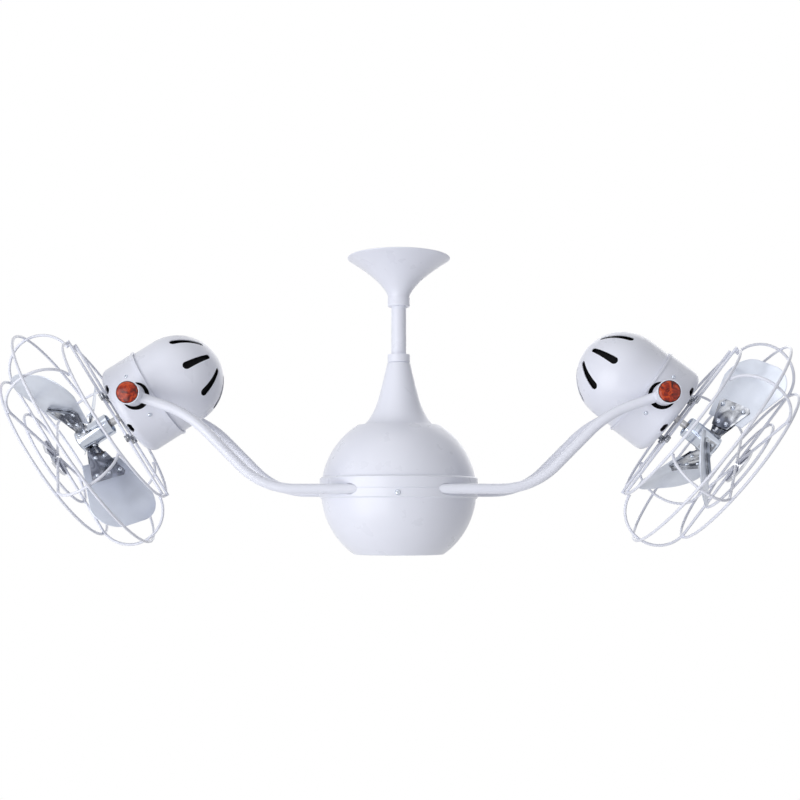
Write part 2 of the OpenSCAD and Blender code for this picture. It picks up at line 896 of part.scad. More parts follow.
// One tube of the yoke, drawn along +X in the plane of the tube, its level part on the x axis.
module arm_sweep(r) {
    translate([arm_start, 0, 0])
        rotate([0, 90, 0])
            cylinder(r = r, h = arm_level - arm_start);
    translate([arm_level, 0, arm_bend_r])
        rotate([90, 0, 0])
            rotate([0, 0, -90])
                rotate_extrude(angle = arm_rise)
                    translate([arm_bend_r, 0])
                        circle(r = r);
    translate([bend_end_x, 0, bend_end_z])
        rotate([0, 90 - arm_rise, 0])
            cylinder(r = r, h = arm_rise_l);
    translate([rise_end_x + arm_top_bend_r * sin(arm_rise), 0,
               rise_end_z - arm_top_bend_r * cos(arm_rise)])
        rotate([90, 0, 0])
            rotate([0, 0, 90 + arm_end_slope])
                rotate_extrude(angle = arm_rise - arm_end_slope)
                    translate([arm_top_bend_r, 0])
                        circle(r = r);
    translate([top_end_x, 0, top_end_z])
        rotate([0, 90 - arm_end_slope, 0])
            cylinder(r = r, h = arm_end_l);
    for (joint = [[bend_end_x, bend_end_z], [rise_end_x, rise_end_z], [top_end_x, top_end_z]])
        translate([joint[0], 0, joint[1]])
            sphere(r = r + joint_bead);
}

// The far side's tubes mirror the near side's, and the left ones the right ones.
module at_arm(side, face) {
    translate([0, face * arm_y, ball_z])
        mirror([side == LEFT ? 1 : 0, 0, 0])
            children();
}

module arm(side, face) {
    color(painted)
        difference() {
            union() {
                at_arm(side, face)
                    arm_sweep(arm_r);
                at_hub(side, face)
                    translate([0, 0, hub_in])
                        cylinder(r = hub_r, h = hub_l);
            }
            at_arm(side, face) {
                arm_sweep(arm_r - arm_wall);
                rotate([0, 90, 0])
                    cylinder(r = arm_r - arm_wall, h = 2 * arm_start);
            }
            at_hub(side, face) {
                translate([0, 0, hub_in - through])
                    cylinder(r = pivot_bore_r, h = far);
                translate([0, 0, pocket_floor])
                    cylinder(r = pocket_r, h = far);
            }
        }
}

module hub_bezels() {
    skirt_t = 1;
    skirt_l = 2;
    color(painted)
        for (s = [LEFT, RIGHT])
            for (f = [FRONT, REAR])
                at_hub(s, f)
                    difference() {
                        union() {
                            translate([0, 0, hub_out])
                                cylinder(r = bezel_r, h = bezel_h);
                            translate([0, 0, hub_out - skirt_l])
                                cylinder(r = pocket_r - fit, h = skirt_l);
                        }
                        translate([0, 0, stone_floor])
                            cylinder(r = stone_r, h = stone_seat + through);
                        translate([0, 0, hub_out - skirt_l - through])
                            cylinder(r = pocket_r - fit - skirt_t, h = skirt_l + through);
                    }
}

module hub_stones() {
    color(stone_red)
        for (s = [LEFT, RIGHT])
            for (f = [FRONT, REAR])
                at_hub(s, f)
                    translate([0, 0, stone_floor + seat_gap]) {
                        cylinder(r = stone_r - fit, h = stone_seat);
                        translate([0, 0, stone_seat])
                            domed_head(stone_r - fit, stone_rise);
                    }
}

module brush_block() {
    block_w = 14;
    block_t = 8;
    brush_w = 4;
    brush_l = 2.5;
    brush_in = ring_r + 0.4;
    block_in = brush_in + 2;
    color(moulded) {
        translate([block_in, -block_w / 2, hub_top])
            cube([block_t, block_w, ring_drum_h + 2]);
        for (i = [0 : ring_count - 1])
            translate([brush_in, -brush_w / 2, first_ring + i * ring_pitch + ring_h / 4])
                cube([brush_l, brush_w, ring_h / 2]);
    }
}

// ---------------------------------------------------------------- heads

module side_holes(r) {
    rotate([0, 90, 0])
        cylinder(r = r, h = far, center = true);
}

module at_shell_screws() {
    for (a = [-shell_screw_angle, shell_screw_angle])
        for (half = [0, 180])
            translate([0, 0, -shell_screw_back])
                rotate([0, 0, a + half])
                    rotate([0, 90, 0])
                        children();
}

module motor_drum() {
    lip = 1.3;
    vent_half = 2;
    corner_mid_r = drum_r - drum_corner_r;
    corner_mid_z = drum_front - drum_corner_r;
    color(painted)
        difference() {
            union() {
                translate([0, 0, -drum_back])
                    cylinder(r = drum_r, h = corner_mid_z + drum_back);
                translate([0, 0, -drum_back])
                    cylinder(r = corner_mid_r, h = drum_front + drum_back);
                translate([0, 0, corner_mid_z])
                    rotate_extrude()
                        translate([corner_mid_r, 0])
                            circle(r = drum_corner_r);
                translate([0, 0, -drum_back])
                    cylinder(r = drum_r + lip, h = 2 * lip);
            }
            translate([0, 0, -drum_back - through])
                cylinder(r = drum_r - drum_wall, h = corner_mid_z + drum_back + through);
            translate([0, 0, -drum_back - through])
                cylinder(r = corner_mid_r, h = drum_front - drum_wall + drum_back + through);
            translate([0, 0, corner_mid_z])
                rotate_extrude()
                    translate([corner_mid_r, 0])
                        circle(r = drum_corner_r - drum_wall);
            cylinder(r = bell_boss_r + 4 * loose, h = far);
            side_holes(side_hole_r);
            around(drum_vents, vent_turn)
                translate([corner_mid_r, 0, corner_mid_z])
                    rotate([0, 45, 0])
                        for (e = [-vent_half, vent_half])
                            translate([0, e, 0])
                                cylinder(r = vent_r, h = 2 * drum_corner_r);
            at_shell_screws()
                cylinder(r = shell_screw_r + loose, h = far);
            for (s = [-1, 1])
                translate([0, s * clamp_out, 0])
                    cylinder(r = clamp_bolt_r + loose, h = far);
        }
}

module rear_dome() {
    collar_l = 5;
    color(painted)
        difference() {
            union() {
                translate([0, 0, dome_mid])
                    cylinder(r = dome_r, h = dome_rim - dome_mid);
                translate([0, 0, dome_mid])
                    sphere(r = dome_r);
                translate([0, 0, dome_rim - collar_l])
                    cylinder(r = drum_r - drum_wall - seat_gap, h = collar_l);
            }
            translate([0, 0, dome_mid])
                cylinder(r = dome_r - drum_wall, h = far);
            translate([0, 0, dome_mid])
                sphere(r = dome_r - drum_wall);
            side_holes(side_hole_r + 1);
            at_shell_screws()
                cylinder(r = lug_r + 1, h = far);
            slots_round_dome();
        }
}

// Long slots down the dome, wide and round towards the drum, narrow towards the dome's top.
module slots_round_dome() {
    half_l = dome_r * sin((slot_wide_at - slot_narrow_at) / 2);
    translate([0, 0, dome_mid])
        around(dome_slots, slot_turn)
            rotate([0, 180 - (slot_wide_at + slot_narrow_at) / 2, 0])
                translate([0, 0, dome_r / 2])
                    linear_extrude(dome_r)
                        union() {
                            translate([-half_l, 0])
                                circle(r = slot_wide_r);
                            translate([half_l, 0])
                                circle(r = slot_narrow_r);
                            polygon([[-half_l, slot_wide_r], [-half_l, -slot_wide_r],
                                     [half_l, -slot_narrow_r], [half_l, slot_narrow_r]]);
                        }
}

module shell_screws() {
    head_r = 2.6;
    head_rise = 1.1;
    color(chromed)
        at_shell_screws() {
            translate([0, 0, drum_r - shell_screw_l])
                cylinder(r = shell_screw_r, h = shell_screw_l);
            translate([0, 0, drum_r])
                domed_head(head_r, head_rise);
        }
}

module motor_frame() {
    root = 2;
    lug_end = sqrt(pow(drum_r - drum_wall - seat_gap, 2) - lug_r * lug_r);
    post_r = 5;
    color(bare_steel)
        difference() {
            union() {
                translate([0, 0, frame_back])
                    tube(frame_r, stator_r + fit, frame_front - frame_back);
                translate([0, 0, frame_front])
                    cylinder(r = frame_r - root, h = bell_t);
                translate([0, 0, frame_front])
                    cylinder(r = bell_boss_r, h = bell_boss_front - frame_front);
                translate([0, 0, frame_back - bell_t])
                    cylinder(r = frame_r, h = bell_t);
                translate([0, 0, bell_boss_back])
                    cylinder(r = bell_boss_r, h = frame_back - bell_boss_back);
                at_shell_screws()
                    translate([0, 0, frame_r - root])
                        cylinder(r = lug_r, h = lug_end - frame_r + root);
                for (half = [0, 180])
                    rotate([0, 0, half])
                        rotate([0, 90, 0]) {
                            translate([0, 0, frame_r - root])
                                cylinder(r = trunnion_boss_r, h = trunnion_boss_end - frame_r + root);
                            translate([0, 0, trunnion_boss_end])
                                cylinder(r = trunnion_r, h = trunnion_end - trunnion_boss_end);
                        }
                for (s = [-1, 1])
                    translate([0, s * clamp_out, frame_front])
                        cylinder(r = post_r, h = drum_front - drum_wall - seat_gap - frame_front);
            }
            translate([0, 0, bell_boss_back - through])
                cylinder(r = shaft_r + 1, h = far);
            translate([0, 0, bell_boss_front - bush_l])
                cylinder(r = bush_r + fit, h = far);
            translate([0, 0, bell_boss_back - through])
                cylinder(r = bush_r + fit, h = bush_l + through);
            at_shell_screws()
                translate([0, 0, drum_r - shell_screw_l - through])
                    cylinder(r = shell_screw_r + fit, h = far);
            for (s = [-1, 1])
                translate([0, s * clamp_out, clamp_bolt_foot - through])
                    cylinder(r = clamp_bolt_r + fit, h = far);
        }
}

module stator() {
    yoke_t = 6;
    tooth_tip = 4;
    slot_half = 3;
    gap_half = 1;
    whole = 2 * stator_half + 2 * through;
    color(bare_steel)
        translate([0, 0, -stator_half])
            difference() {
                cylinder(r = stator_r, h = 2 * stator_half);
                translate([0, 0, -through]) {
                    cylinder(r = stator_bore_r, h = whole);
                    around(stator_slots) {
                        translate([stator_bore_r + tooth_tip, -slot_half, 0])
                            cube([stator_r - yoke_t - stator_bore_r - tooth_tip, 2 * slot_half, whole]);
                        translate([stator_bore_r - through, -gap_half, 0])
                            cube([tooth_tip + 2 * through, 2 * gap_half, whole]);
                    }
                }
            }
}

module motor_bushes() {
    color(bronze)
        for (z = [bell_boss_back, bell_boss_front - bush_l])
            translate([0, 0, z])
                tube(bush_r, shaft_r + fit, bush_l);
}

// Washer between hub and boss, and a thin locknut in the hub's pocket, at both pivots.
module pivot_hardware() {
    nut_flat_r = 9;
    thin_nut_h = 5;
    thin_washer_h = 1;
    color(chromed)
        for (half = [0, 180])
            rotate([0, 0, half])
                rotate([0, 90, 0]) {
                    translate([0, 0, trunnion_boss_end + seat_gap])
                        tube(trunnion_boss_r, trunnion_r + fit, washer_t);
                    translate([0, 0, pocket_floor + seat_gap])
                        tube(nut_flat_r + 1, trunnion_r + fit, thin_washer_h);
                    translate([0, 0, pocket_floor + seat_gap + thin_washer_h])
                        difference() {
                            cylinder(r = nut_flat_r, h = thin_nut_h, $fn = 6);
                            translate([0, 0, -through])
                                cylinder(r = trunnion_r + fit, h = thin_nut_h + 2 * through);
                        }
                }
}

// ---------------------------------------------------------------- guards

module guard_ribs() {
    color(painted)
        around(ribs, 90)
            rotate([90, 0, 0]) {
                translate([rib_bend_out, rib_bend_fwd, 0])
                    mirror([1, 0, 0])
                        rotate([0, 0, 90])
                            rotate_extrude(angle = rib_foot_angle)
                                translate([rib_bend_r, 0])
                                    circle(r = wire_r);
                translate([rib_in, rib_front, 0])
                    rotate([0, 90, 0])
                        cylinder(r = wire_r, h = rib_bend_out - rib_in);
            }
}

module guard_rings() {
    color(painted) {
        ring_wire(rear_ring_r, rear_ring_z, wire_r);
        ring_wire(rim_ring_r, rib_bend_fwd, wire_r);
        ring_wire(front_ring_r, front_ring_z, wire_r);
        ring_wire(inner_ring_r, inner_ring_z, wire_r);
        for (s = [-1, 1])
            translate([s * bridge_half, 0, bridge_z])
                rotate([90, 0, 0])
                    cylinder(r = wire_r, h = 2 * bridge_half_l, center = true);
    }
}

// Two clamps: a spacer and two straps that grip both bridge wires, held by a bolt.
module guard_clamps() {
    strap_l = 2 * bridge_half + 3 * wire_d;
    low = bridge_z - wire_r - seat_gap - clamp_t;
    high = bridge_z + wire_r + seat_gap;
    spacer_foot = drum_front + seat_gap;
    head_r = 3.8;
    head_rise = 2.4;
    color(chromed)
        for (s = [-1, 1])
            translate([0, s * clamp_out, 0]) {
                difference() {
                    union() {
                        for (foot = [low, high])
                            translate([-strap_l / 2, -clamp_w / 2, foot])
                                cube([strap_l, clamp_w, clamp_t]);
                        translate([0, 0, spacer_foot])
                            cylinder(r = clamp_w / 2, h = low - spacer_foot);
                    }
                    cylinder(r = clamp_bolt_r + fit, h = far);
                }
                translate([0, 0, clamp_bolt_foot])
                    cylinder(r = clamp_bolt_r, h = high + clamp_t - clamp_bolt_foot);
                translate([0, 0, high + clamp_t])
                    domed_head(head_r, head_rise);
            }
}

// The round plate in the middle of the guard: bare, with a raised rim.
module front_plate() {
    rim_w = 2.2;
    dish = 1.2;
    color(chromed)
        translate([0, 0, plate_back])
            difference() {
                cylinder(r = badge_r, h = badge_t);
                translate([0, 0, badge_t - dish])
                    cylinder(r = badge_r - rim_w, h = dish + through);
            }
}

// ---------------------------------------------------------------- rotors

module motor_rotor() {
    shaft_foot = bell_boss_back + 1;
    color(bare_steel) {
        translate([0, 0, shaft_foot])
            cylinder(r = shaft_r, h = shaft_end - shaft_foot);
        translate([0, 0, -stator_half])
            cylinder(r = rotor_r, h = 2 * stator_half);
    }
}

// Chromed cup that the irons screw to, hollow behind, where the shaft shows.
module blade_hub() {
    cup = 12;
    cup_wall = 2;
    nose = 3;
    color(chromed)
        difference() {
            union() {
                translate([0, 0, blade_hub_back])
                    cylinder(r = blade_hub_r, h = blade_hub_l - nose);
                translate([0, 0, blade_hub_back + blade_hub_l - nose])
                    cylinder(r1 = blade_hub_r, r2 = blade_hub_r - nose, h = nose);
            }
            translate([0, 0, blade_hub_back - through])
                cylinder(r = blade_hub_r - cup_wall, h = cup + through);
            translate([0, 0, blade_hub_back])
                cylinder(r = shaft_r + fit, h = shaft_end + seat_gap - blade_hub_back);
        }
}

// A blade's own frame: x outwards, y across the blade, z forward before it is pitched.
module on_blade(phase) {
    around(blades, phase)
        translate([0, 0, blade_fwd])
            rotate([-blade_pitch, 0, 0])
                children();
}

// A sheet bent like the blade, from low to high above the blade's middle surface.
module bent_sheet(low, high) {
    intersection() {
        translate([0, 0, -far / 2])
            linear_extrude(far)
                children();
        translate([0, 0, blade_camber_r])
            rotate([0, 90, 0])
                difference() {
                    cylinder(r = blade_camber_r - low, h = far);
                    translate([0, 0, -through])
                        cylinder(r = blade_camber_r - high, h = far + 2 * through);
                }
    }
}

module blade_outline() {
    widest = blade_tip_r - blade_tip_corner;
    union() {
        polygon([[blade_root_r, -blade_root_w / 2], [widest, -blade_w / 2],
                 [widest, blade_w / 2], [blade_root_r, blade_root_w / 2]]);
        translate([widest, -blade_w / 2 + blade_tip_corner])
            square([blade_tip_corner, blade_w - 2 * blade_tip_corner]);
        for (s = [-1, 1])
            translate([widest, s * (blade_w / 2 - blade_tip_corner)])
                circle(r = blade_tip_corner);
    }
}

module blade_set(phase) {
    color(blade_metal)
        on_blade(phase)
            difference() {
                bent_sheet(-blade_t / 2, blade_t / 2)
                    blade_outline();
                at_iron_screws()
                    cylinder(r = iron_screw_r + loose, h = far, center = true);
            }
}

// Outline of an iron and of the plate behind it, from x = start outwards.
module iron_outline(start) {
    corner = 5;
    edge_x = iron_end_r - corner;
    slope = (iron_end_w - iron_root_w) / (edge_x - blade_hub_r);
    start_w = iron_root_w + slope * (start - blade_hub_r);
    polygon([[start, -start_w / 2], [edge_x, -iron_end_w / 2],
             [iron_end_r, -iron_end_w / 2 + corner], [iron_end_r, iron_end_w / 2 - corner],
             [edge_x, iron_end_w / 2], [start, start_w / 2]]);
}

// A bent iron on each blade with a curved foot on the hub, and a thin plate behind the blade.
module blade_irons(phase) {
    low = blade_t / 2 + seat_gap;
    lip_w = iron_end_w / 2;
    color(chromed)
        difference() {
            union() {
                on_blade(phase) {
                    bent_sheet(low, low + iron_t)
                        iron_outline(blade_hub_r);
                    bent_sheet(low, low + iron_t + iron_lip)
                        translate([iron_end_r - iron_t, -lip_w / 2])
                            square([iron_t, lip_w]);
                    bent_sheet(-low - backing_t, -low)
                        iron_outline(backing_in);
                }
                around(blades, phase)
                    translate([0, 0, blade_fwd - iron_foot_h / 2])
                        intersection() {
                            cylinder(r = blade_hub_r + fit + iron_t, h = iron_foot_h);
                            translate([0, -iron_foot_w / 2, 0])
                                cube([far, iron_foot_w, iron_foot_h]);
                        }
            }
            translate([0, 0, blade_hub_back])
                cylinder(r = blade_hub_r + fit, h = far);
            on_blade(phase)
                at_iron_screws()
                    cylinder(r = iron_screw_r + fit, h = far, center = true);
        }
}

// Each screw stands square on the bent sheet.
module at_iron_screws() {
    for (p = iron_screws)
        translate([p[0], 0, blade_camber_r])
            rotate([asin(p[1] / blade_camber_r), 0, 0])
                translate([0, 0, -blade_camber_r])
                    children();
}

module blade_screws(phase) {
    head_r = 3.2;
    head_rise = 2.2;
    foot_head_r = 2.4;
    foot_head_rise = 1.4;
    low = blade_t / 2 + seat_gap;
    top = low + iron_t + fit;
    color(chromed) {
        on_blade(phase)
            at_iron_screws() {
                translate([0, 0, -low - backing_t])
                    cylinder(r = iron_screw_r, h = top + low + backing_t);
                translate([0, 0, top])
                    domed_head(head_r, head_rise);
                translate([0, 0, -low - backing_t])
                    mirror([0, 0, 1])
                        domed_head(head_r, head_rise);
            }
        around(blades, phase)
            for (e = [-1, 1])
                rotate([0, 0, e * foot_screw_turn])
                    translate([blade_hub_r + fit + iron_t, 0, blade_fwd + e * foot_screw_z])
                        rotate([0, 90, 0])
                            domed_head(foot_head_r, foot_head_rise);
    }
}

// ---------------------------------------------------------------- nodes

module left_front_arm() { arm(LEFT, FRONT); }
module left_rear_arm() { arm(LEFT, REAR); }
module right_front_arm() { arm(RIGHT, FRONT); }
module right_rear_arm() { arm(RIGHT, REAR); }

ceiling_bracket();
hanger_ball();
hanger_pin();
downrod();
canopy();
canopy_collar();
rod_collar();
neck_cone();
coupling();
coupling_bolt();
spindle();
retaining_nut();
slip_rings();
bearing_inner_races();
upper_shell();
lower_shell();
belt_screws();
arm_carrier();
arm_set_screws();
left_front_arm();
left_rear_arm();
right_front_arm();
right_rear_arm();
bearing_outer_races();
brush_block();
hub_bezels();
hub_stones();

on_head(LEFT) motor_drum();  // left_motor_drum
on_head(LEFT) rear_dome();  // left_rear_dome
on_head(LEFT) shell_screws();  // left_shell_screws
on_head(LEFT) motor_frame();  // left_motor_frame
on_head(LEFT) stator();  // left_stator
on_head(LEFT) motor_bushes();  // left_motor_bushes
on_head(LEFT) pivot_hardware();  // left_pivot_hardware
on_head(LEFT) guard_ribs();  // left_guard_ribs
on_head(LEFT) guard_rings();  // left_guard_rings
on_head(LEFT) guard_clamps();  // left_guard_clamps
on_head(LEFT) front_plate();  // left_front_plate
on_head(LEFT) motor_rotor();  // left_motor_rotor
on_head(LEFT) blade_hub();  // left_blade_hub
on_head(LEFT) blade_irons(left_phase);  // left_blade_irons
on_head(LEFT) blade_screws(left_phase);  // left_blade_screws
on_head(LEFT) blade_set(left_phase);  // left_blades

on_head(RIGHT) motor_drum();  // right_motor_drum
on_head(RIGHT) rear_dome();  // right_rear_dome
on_head(RIGHT) shell_screws();  // right_shell_screws
on_head(RIGHT) motor_frame();  // right_motor_frame
on_head(RIGHT) stator();  // right_stator
on_head(RIGHT) motor_bushes();  // right_motor_bushes
on_head(RIGHT) pivot_hardware();  // right_pivot_hardware
on_head(RIGHT) guard_ribs();  // right_guard_ribs
on_head(RIGHT) guard_rings();  // right_guard_rings
on_head(RIGHT) guard_clamps();  // right_guard_clamps
on_head(RIGHT) front_plate();  // right_front_plate
on_head(RIGHT) motor_rotor();  // right_motor_rotor
on_head(RIGHT) blade_hub();  // right_blade_hub
on_head(RIGHT) blade_irons(right_phase);  // right_blade_irons
on_head(RIGHT) blade_screws(right_phase);  // right_blade_screws
on_head(RIGHT) blade_set(right_phase);  // right_blades
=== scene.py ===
"""The looks of a ceiling fan with two caged heads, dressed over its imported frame."""

from __future__ import annotations

import json
import logging
import math
from dataclasses import dataclass, field
from enum import Enum
from typing import Any, Sequence

import bmesh
import bpy
from mathutils import Matrix, Vector

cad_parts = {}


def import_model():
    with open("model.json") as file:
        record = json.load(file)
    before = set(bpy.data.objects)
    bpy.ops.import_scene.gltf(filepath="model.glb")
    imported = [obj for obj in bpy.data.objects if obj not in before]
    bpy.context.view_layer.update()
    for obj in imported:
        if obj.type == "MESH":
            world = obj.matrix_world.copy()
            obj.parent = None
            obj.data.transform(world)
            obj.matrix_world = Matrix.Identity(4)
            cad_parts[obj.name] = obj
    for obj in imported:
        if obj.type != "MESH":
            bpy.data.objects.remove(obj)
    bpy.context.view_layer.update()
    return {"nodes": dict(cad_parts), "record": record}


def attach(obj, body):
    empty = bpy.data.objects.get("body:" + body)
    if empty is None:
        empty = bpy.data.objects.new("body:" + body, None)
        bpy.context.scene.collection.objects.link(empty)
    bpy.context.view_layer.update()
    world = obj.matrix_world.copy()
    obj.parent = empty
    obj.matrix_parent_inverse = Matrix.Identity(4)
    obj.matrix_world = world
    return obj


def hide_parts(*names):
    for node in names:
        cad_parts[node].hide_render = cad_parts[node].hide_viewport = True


LOG = logging.getLogger("ceiling_fan")
MM = 0.001  # metres in a millimetre
PHASES = {"left": 39.0, "right": 88.0}  # where each rotor's first blade stands, in degrees
# CAD nodes inside the heads, dressed near-black as painted shade so the slots and gaps show dark
PAINTED_SHADE_NODES = ("_motor_frame", "_stator", "_pivot_hardware")
CREASE = math.radians(34)  # edges sharper than this are shaded sharp
MERGE, THIN = 1e-6, 1e-7  # metres within which points and edges coincide
NOISE_RANGE = (0.3, 0.7)  # between these lies most of a noise
BOTH = (-1, 1)
WHITE = (1.0, 1.0, 1.0, 1.0)

Colour = tuple[float, float, float]
Point = tuple[float, float, float]
Span = tuple[float, float]
Profile = Sequence[tuple[float, float]]
Rows = list[list[Vector]]
Stops = Sequence[tuple[float, Colour]]


# ---------------------------------------------------------------- small helpers


def about(axis: str, degrees: float) -> Matrix:
    """A turn about an axis."""
    return Matrix.Rotation(math.radians(degrees), 4, axis)


def shifted(x: float, y: float, z: float) -> Matrix:
    """A shift along the three axes."""
    return Matrix.Translation((x, y, z))


def even(low: float, high: float, steps: int) -> list[float]:
    """Evenly spaced values with both ends included."""
    return [low + (high - low) * k / steps for k in range(steps + 1)]


def circle(radius: float, steps: int) -> list[tuple[float, float]]:
    """Points round a circle about the origin."""
    return [(radius * math.cos(t), radius * math.sin(t)) for t in even(0.0, 2 * math.pi, steps)[:-1]]


def arc(middle: Span, radius: float, start: float, end: float, steps: int) -> list[tuple[float, float]]:
    """Points along an arc.

    Args:
        middle: The arc's middle.
        radius: Its radius.
        start: Angle at which it starts, in degrees.
        end: Angle at which it ends, in degrees.
        steps: How many steps it has.

    Returns:
        The points, both ends included.
    """
    angles = [math.radians(angle) for angle in even(start, end, steps)]
    return [(middle[0] + radius * math.cos(a), middle[1] + radius * math.sin(a)) for a in angles]


def smooth_step(low: float, high: float, value: float) -> float:
    """0 below low, 1 above high, and a smooth rise between."""
    part = min(1.0, max(0.0, (value - low) / (high - low)))
    return part * part * (3 - 2 * part)


def lighter(colour: Colour, factor: float) -> Colour:
    """The colour, with each part multiplied by the factor."""
    return tuple(min(1.0, part * factor) for part in colour)


def add_node(tree: bpy.types.NodeTree, kind: str, *ordered: Any, **named: Any) -> bpy.types.Node:
    """Adds a node and fills its inputs with sockets or plain values.

    Args:
        tree: The node tree.
        kind: The node's type.
        ordered: What goes into its first inputs.
        named: What goes into its named inputs, spaces written as underscores.

    Returns:
        The node.
    """
    node = tree.nodes.new(kind)
    filled = list(zip(node.inputs, ordered))
    filled += [(node.inputs[name.replace("_", " ")], value) for name, value in named.items()]
    for socket, value in filled:
        if isinstance(value, bpy.types.NodeSocket):
            tree.links.new(value, socket)
        else:
            socket.default_value = value
    return node


# ---------------------------------------------------------------- finishes


@dataclass(frozen=True)
class Grain:
    """How fine a noise is, how many finer layers it has, and how it is swirled and stretched."""

    scale: float
    detail: float = 3.0
    swirl: float = 0.0
    stretch: Point | None = None


class MaterialSheet:
    """A material's node tree while it is being laid out."""

    def __init__(self, name: str) -> None:
        """Starts a material of that name with a bare surface shader."""
        self.material = bpy.data.materials.new(name)
        self.material.use_nodes = True
        self.tree = self.material.node_tree
        self.shader = self.tree.nodes["Principled BSDF"]
        self.coords = self.tree.nodes.new("ShaderNodeTexCoord").outputs["Object"]

    def plain(self, **values: float) -> None:
        """Sets sockets of the surface shader, with spaces written as underscores."""
        for name, value in values.items():
            self.shader.inputs[name.replace("_", " ")].default_value = value

    def feed(self, name: str, socket: bpy.types.NodeSocket) -> None:
        """Links a socket to the surface shader's input of that name."""
        self.tree.links.new(socket, self.shader.inputs[name])

    def noise(self, grain: Grain) -> bpy.types.NodeSocket:
        """Cloudy noise over the object's own coordinates."""
        vector = self.coords
        if grain.stretch:
            mapping = add_node(self.tree, "ShaderNodeMapping", Vector=vector, Scale=grain.stretch)
            vector = mapping.outputs["Vector"]
        node = add_node(self.tree, "ShaderNodeTexNoise", Vector=vector, Scale=grain.scale,
                        Detail=grain.detail, Distortion=grain.swirl)
        return node.outputs["Fac"]

    def cells(self, scale: float) -> bpy.types.NodeSocket:
        """Voronoi cells, as the distance from each cell's middle."""
        node = add_node(self.tree, "ShaderNodeTexVoronoi", Vector=self.coords, Scale=scale)
        return node.outputs["Distance"]

    def ramp(self, value: bpy.types.NodeSocket, stops: Stops) -> bpy.types.NodeSocket:
        """Colours along a value.

        Args:
            value: The value between 0 and 1.
            stops: Places and colours, in rising order.

        Returns:
            The socket with the colour.
        """
        node = add_node(self.tree, "ShaderNodeValToRGB", Fac=value)
        elements = node.color_ramp.elements
        while len(elements) < len(stops):
            elements.new(0.5)
        for element, (place, colour) in zip(elements, stops):
            element.position = place
            element.color = (*colour, 1.0)
        return node.outputs["Color"]

    def spread(self, value: bpy.types.NodeSocket, low: float, high: float) -> bpy.types.NodeSocket:
        """A noise's value, spread from low to high over the range that most of it has."""
        node = add_node(self.tree, "ShaderNodeMapRange", Value=value, From_Min=NOISE_RANGE[0],
                        From_Max=NOISE_RANGE[1], To_Min=low, To_Max=high)
        return node.outputs["Result"]

    def bump(self, height: bpy.types.NodeSocket, strength: float, distance: float) -> None:
        """Raises the surface.

        Args:
            height: The height between 0 and 1.
            strength: How strongly it shows.
            distance: How high 1 stands, in metres.
        """
        node = add_node(self.tree, "ShaderNodeBump", Height=height, Strength=strength, Distance=distance)
        self.feed("Normal", node.outputs["Normal"])


@dataclass(frozen=True)
class Finish:
    """A surface whose tone, haze and height each follow a noise of their own."""

    name: str
    colour: Colour
    tone: Grain = Grain(60.0, 4.0)
    tones: tuple[Span, ...] = ((0.3, 0.85), (0.7, 1.15))
    haze: Grain = Grain(300.0)
    roughness: Span = (0.47, 0.63)
    relief: Grain = Grain(900.0, 2.0)
    cellular: bool = False
    strength: float = 0.2
    height: float = 0.0001
    metallic: float = 0.0
    specular: float = 0.5
    coat: float = 0.0
    coat_roughness: float = 0.03

    def grains(self) -> tuple[Grain, Grain, Grain]:
        """The noises of tone, haze and height."""
        return self.tone, self.haze, self.relief

    def stops(self) -> Stops:
        """Places and colours along the tone."""
        return [(place, lighter(self.colour, factor)) for place, factor in self.tones]

    def make(self) -> bpy.types.Material:
        """The finished material."""
        tone, haze, relief = self.grains()
        sheet = MaterialSheet(self.name)
        sheet.feed("Base Color", sheet.ramp(sheet.noise(tone), self.stops()))
        sheet.feed("Roughness", sheet.spread(sheet.noise(haze), *self.roughness))
        sheet.plain(Metallic=self.metallic, Specular_IOR_Level=self.specular, Coat_Weight=self.coat,
                    Coat_Roughness=self.coat_roughness)
        height = sheet.cells(relief.scale) if self.cellular else sheet.noise(relief)
        sheet.bump(height, self.strength, self.height)
        return sheet.material


@dataclass(frozen=True)
class Moulded(Finish):
    """Matte moulded plastic with a fine spark-eroded grain."""


@dataclass(frozen=True)
class Enamel(Finish):
    """Sprayed gloss enamel: faint clouds of tone, an orange peel and a clear gloss."""

    tone: Grain = Grain(9.0, 4.0)
    tones: tuple[Span, ...] = ((0.3, 0.98), (0.7, 1.01))
    haze: Grain = Grain(40.0)
    roughness: Span = (0.26, 0.36)
    relief: Grain = Grain(240.0, 2.0)
    strength: float = 0.04
    specular: float = 0.4
    coat: float = 0.12
    coat_roughness: float = 0.08


@dataclass(frozen=True)
class Plated(Finish):
    """Bright plating: nearly a mirror, with faint haze and the ripple of the metal below."""

    tones: tuple[Span, ...] = ((0.3, 0.93), (0.7, 1.0))
    haze: Grain = Grain(150.0, 5.0)
    roughness: Span = (0.042, 0.112)
    relief: Grain = Grain(240.0, 2.0)
    strength: float = 0.04
    height: float = 0.0003
    metallic: float = 1.0


@dataclass(frozen=True)
class Brushed(Finish):
    """Ground or drawn metal, whose tone, haze and height all follow the same fine scratches."""

    lines: Grain = Grain(1.0, 6.0, stretch=(140.0, 140.0, 1500.0))
    tones: tuple[Span, ...] = ((0.25, 0.82), (0.75, 1.06))
    roughness: Span = (0.24, 0.42)
    strength: float = 0.12
    height: float = 0.0002
    metallic: float = 1.0

    def grains(self) -> tuple[Grain, Grain, Grain]:
        """The same lines three times."""
        return self.lines, self.lines, self.lines


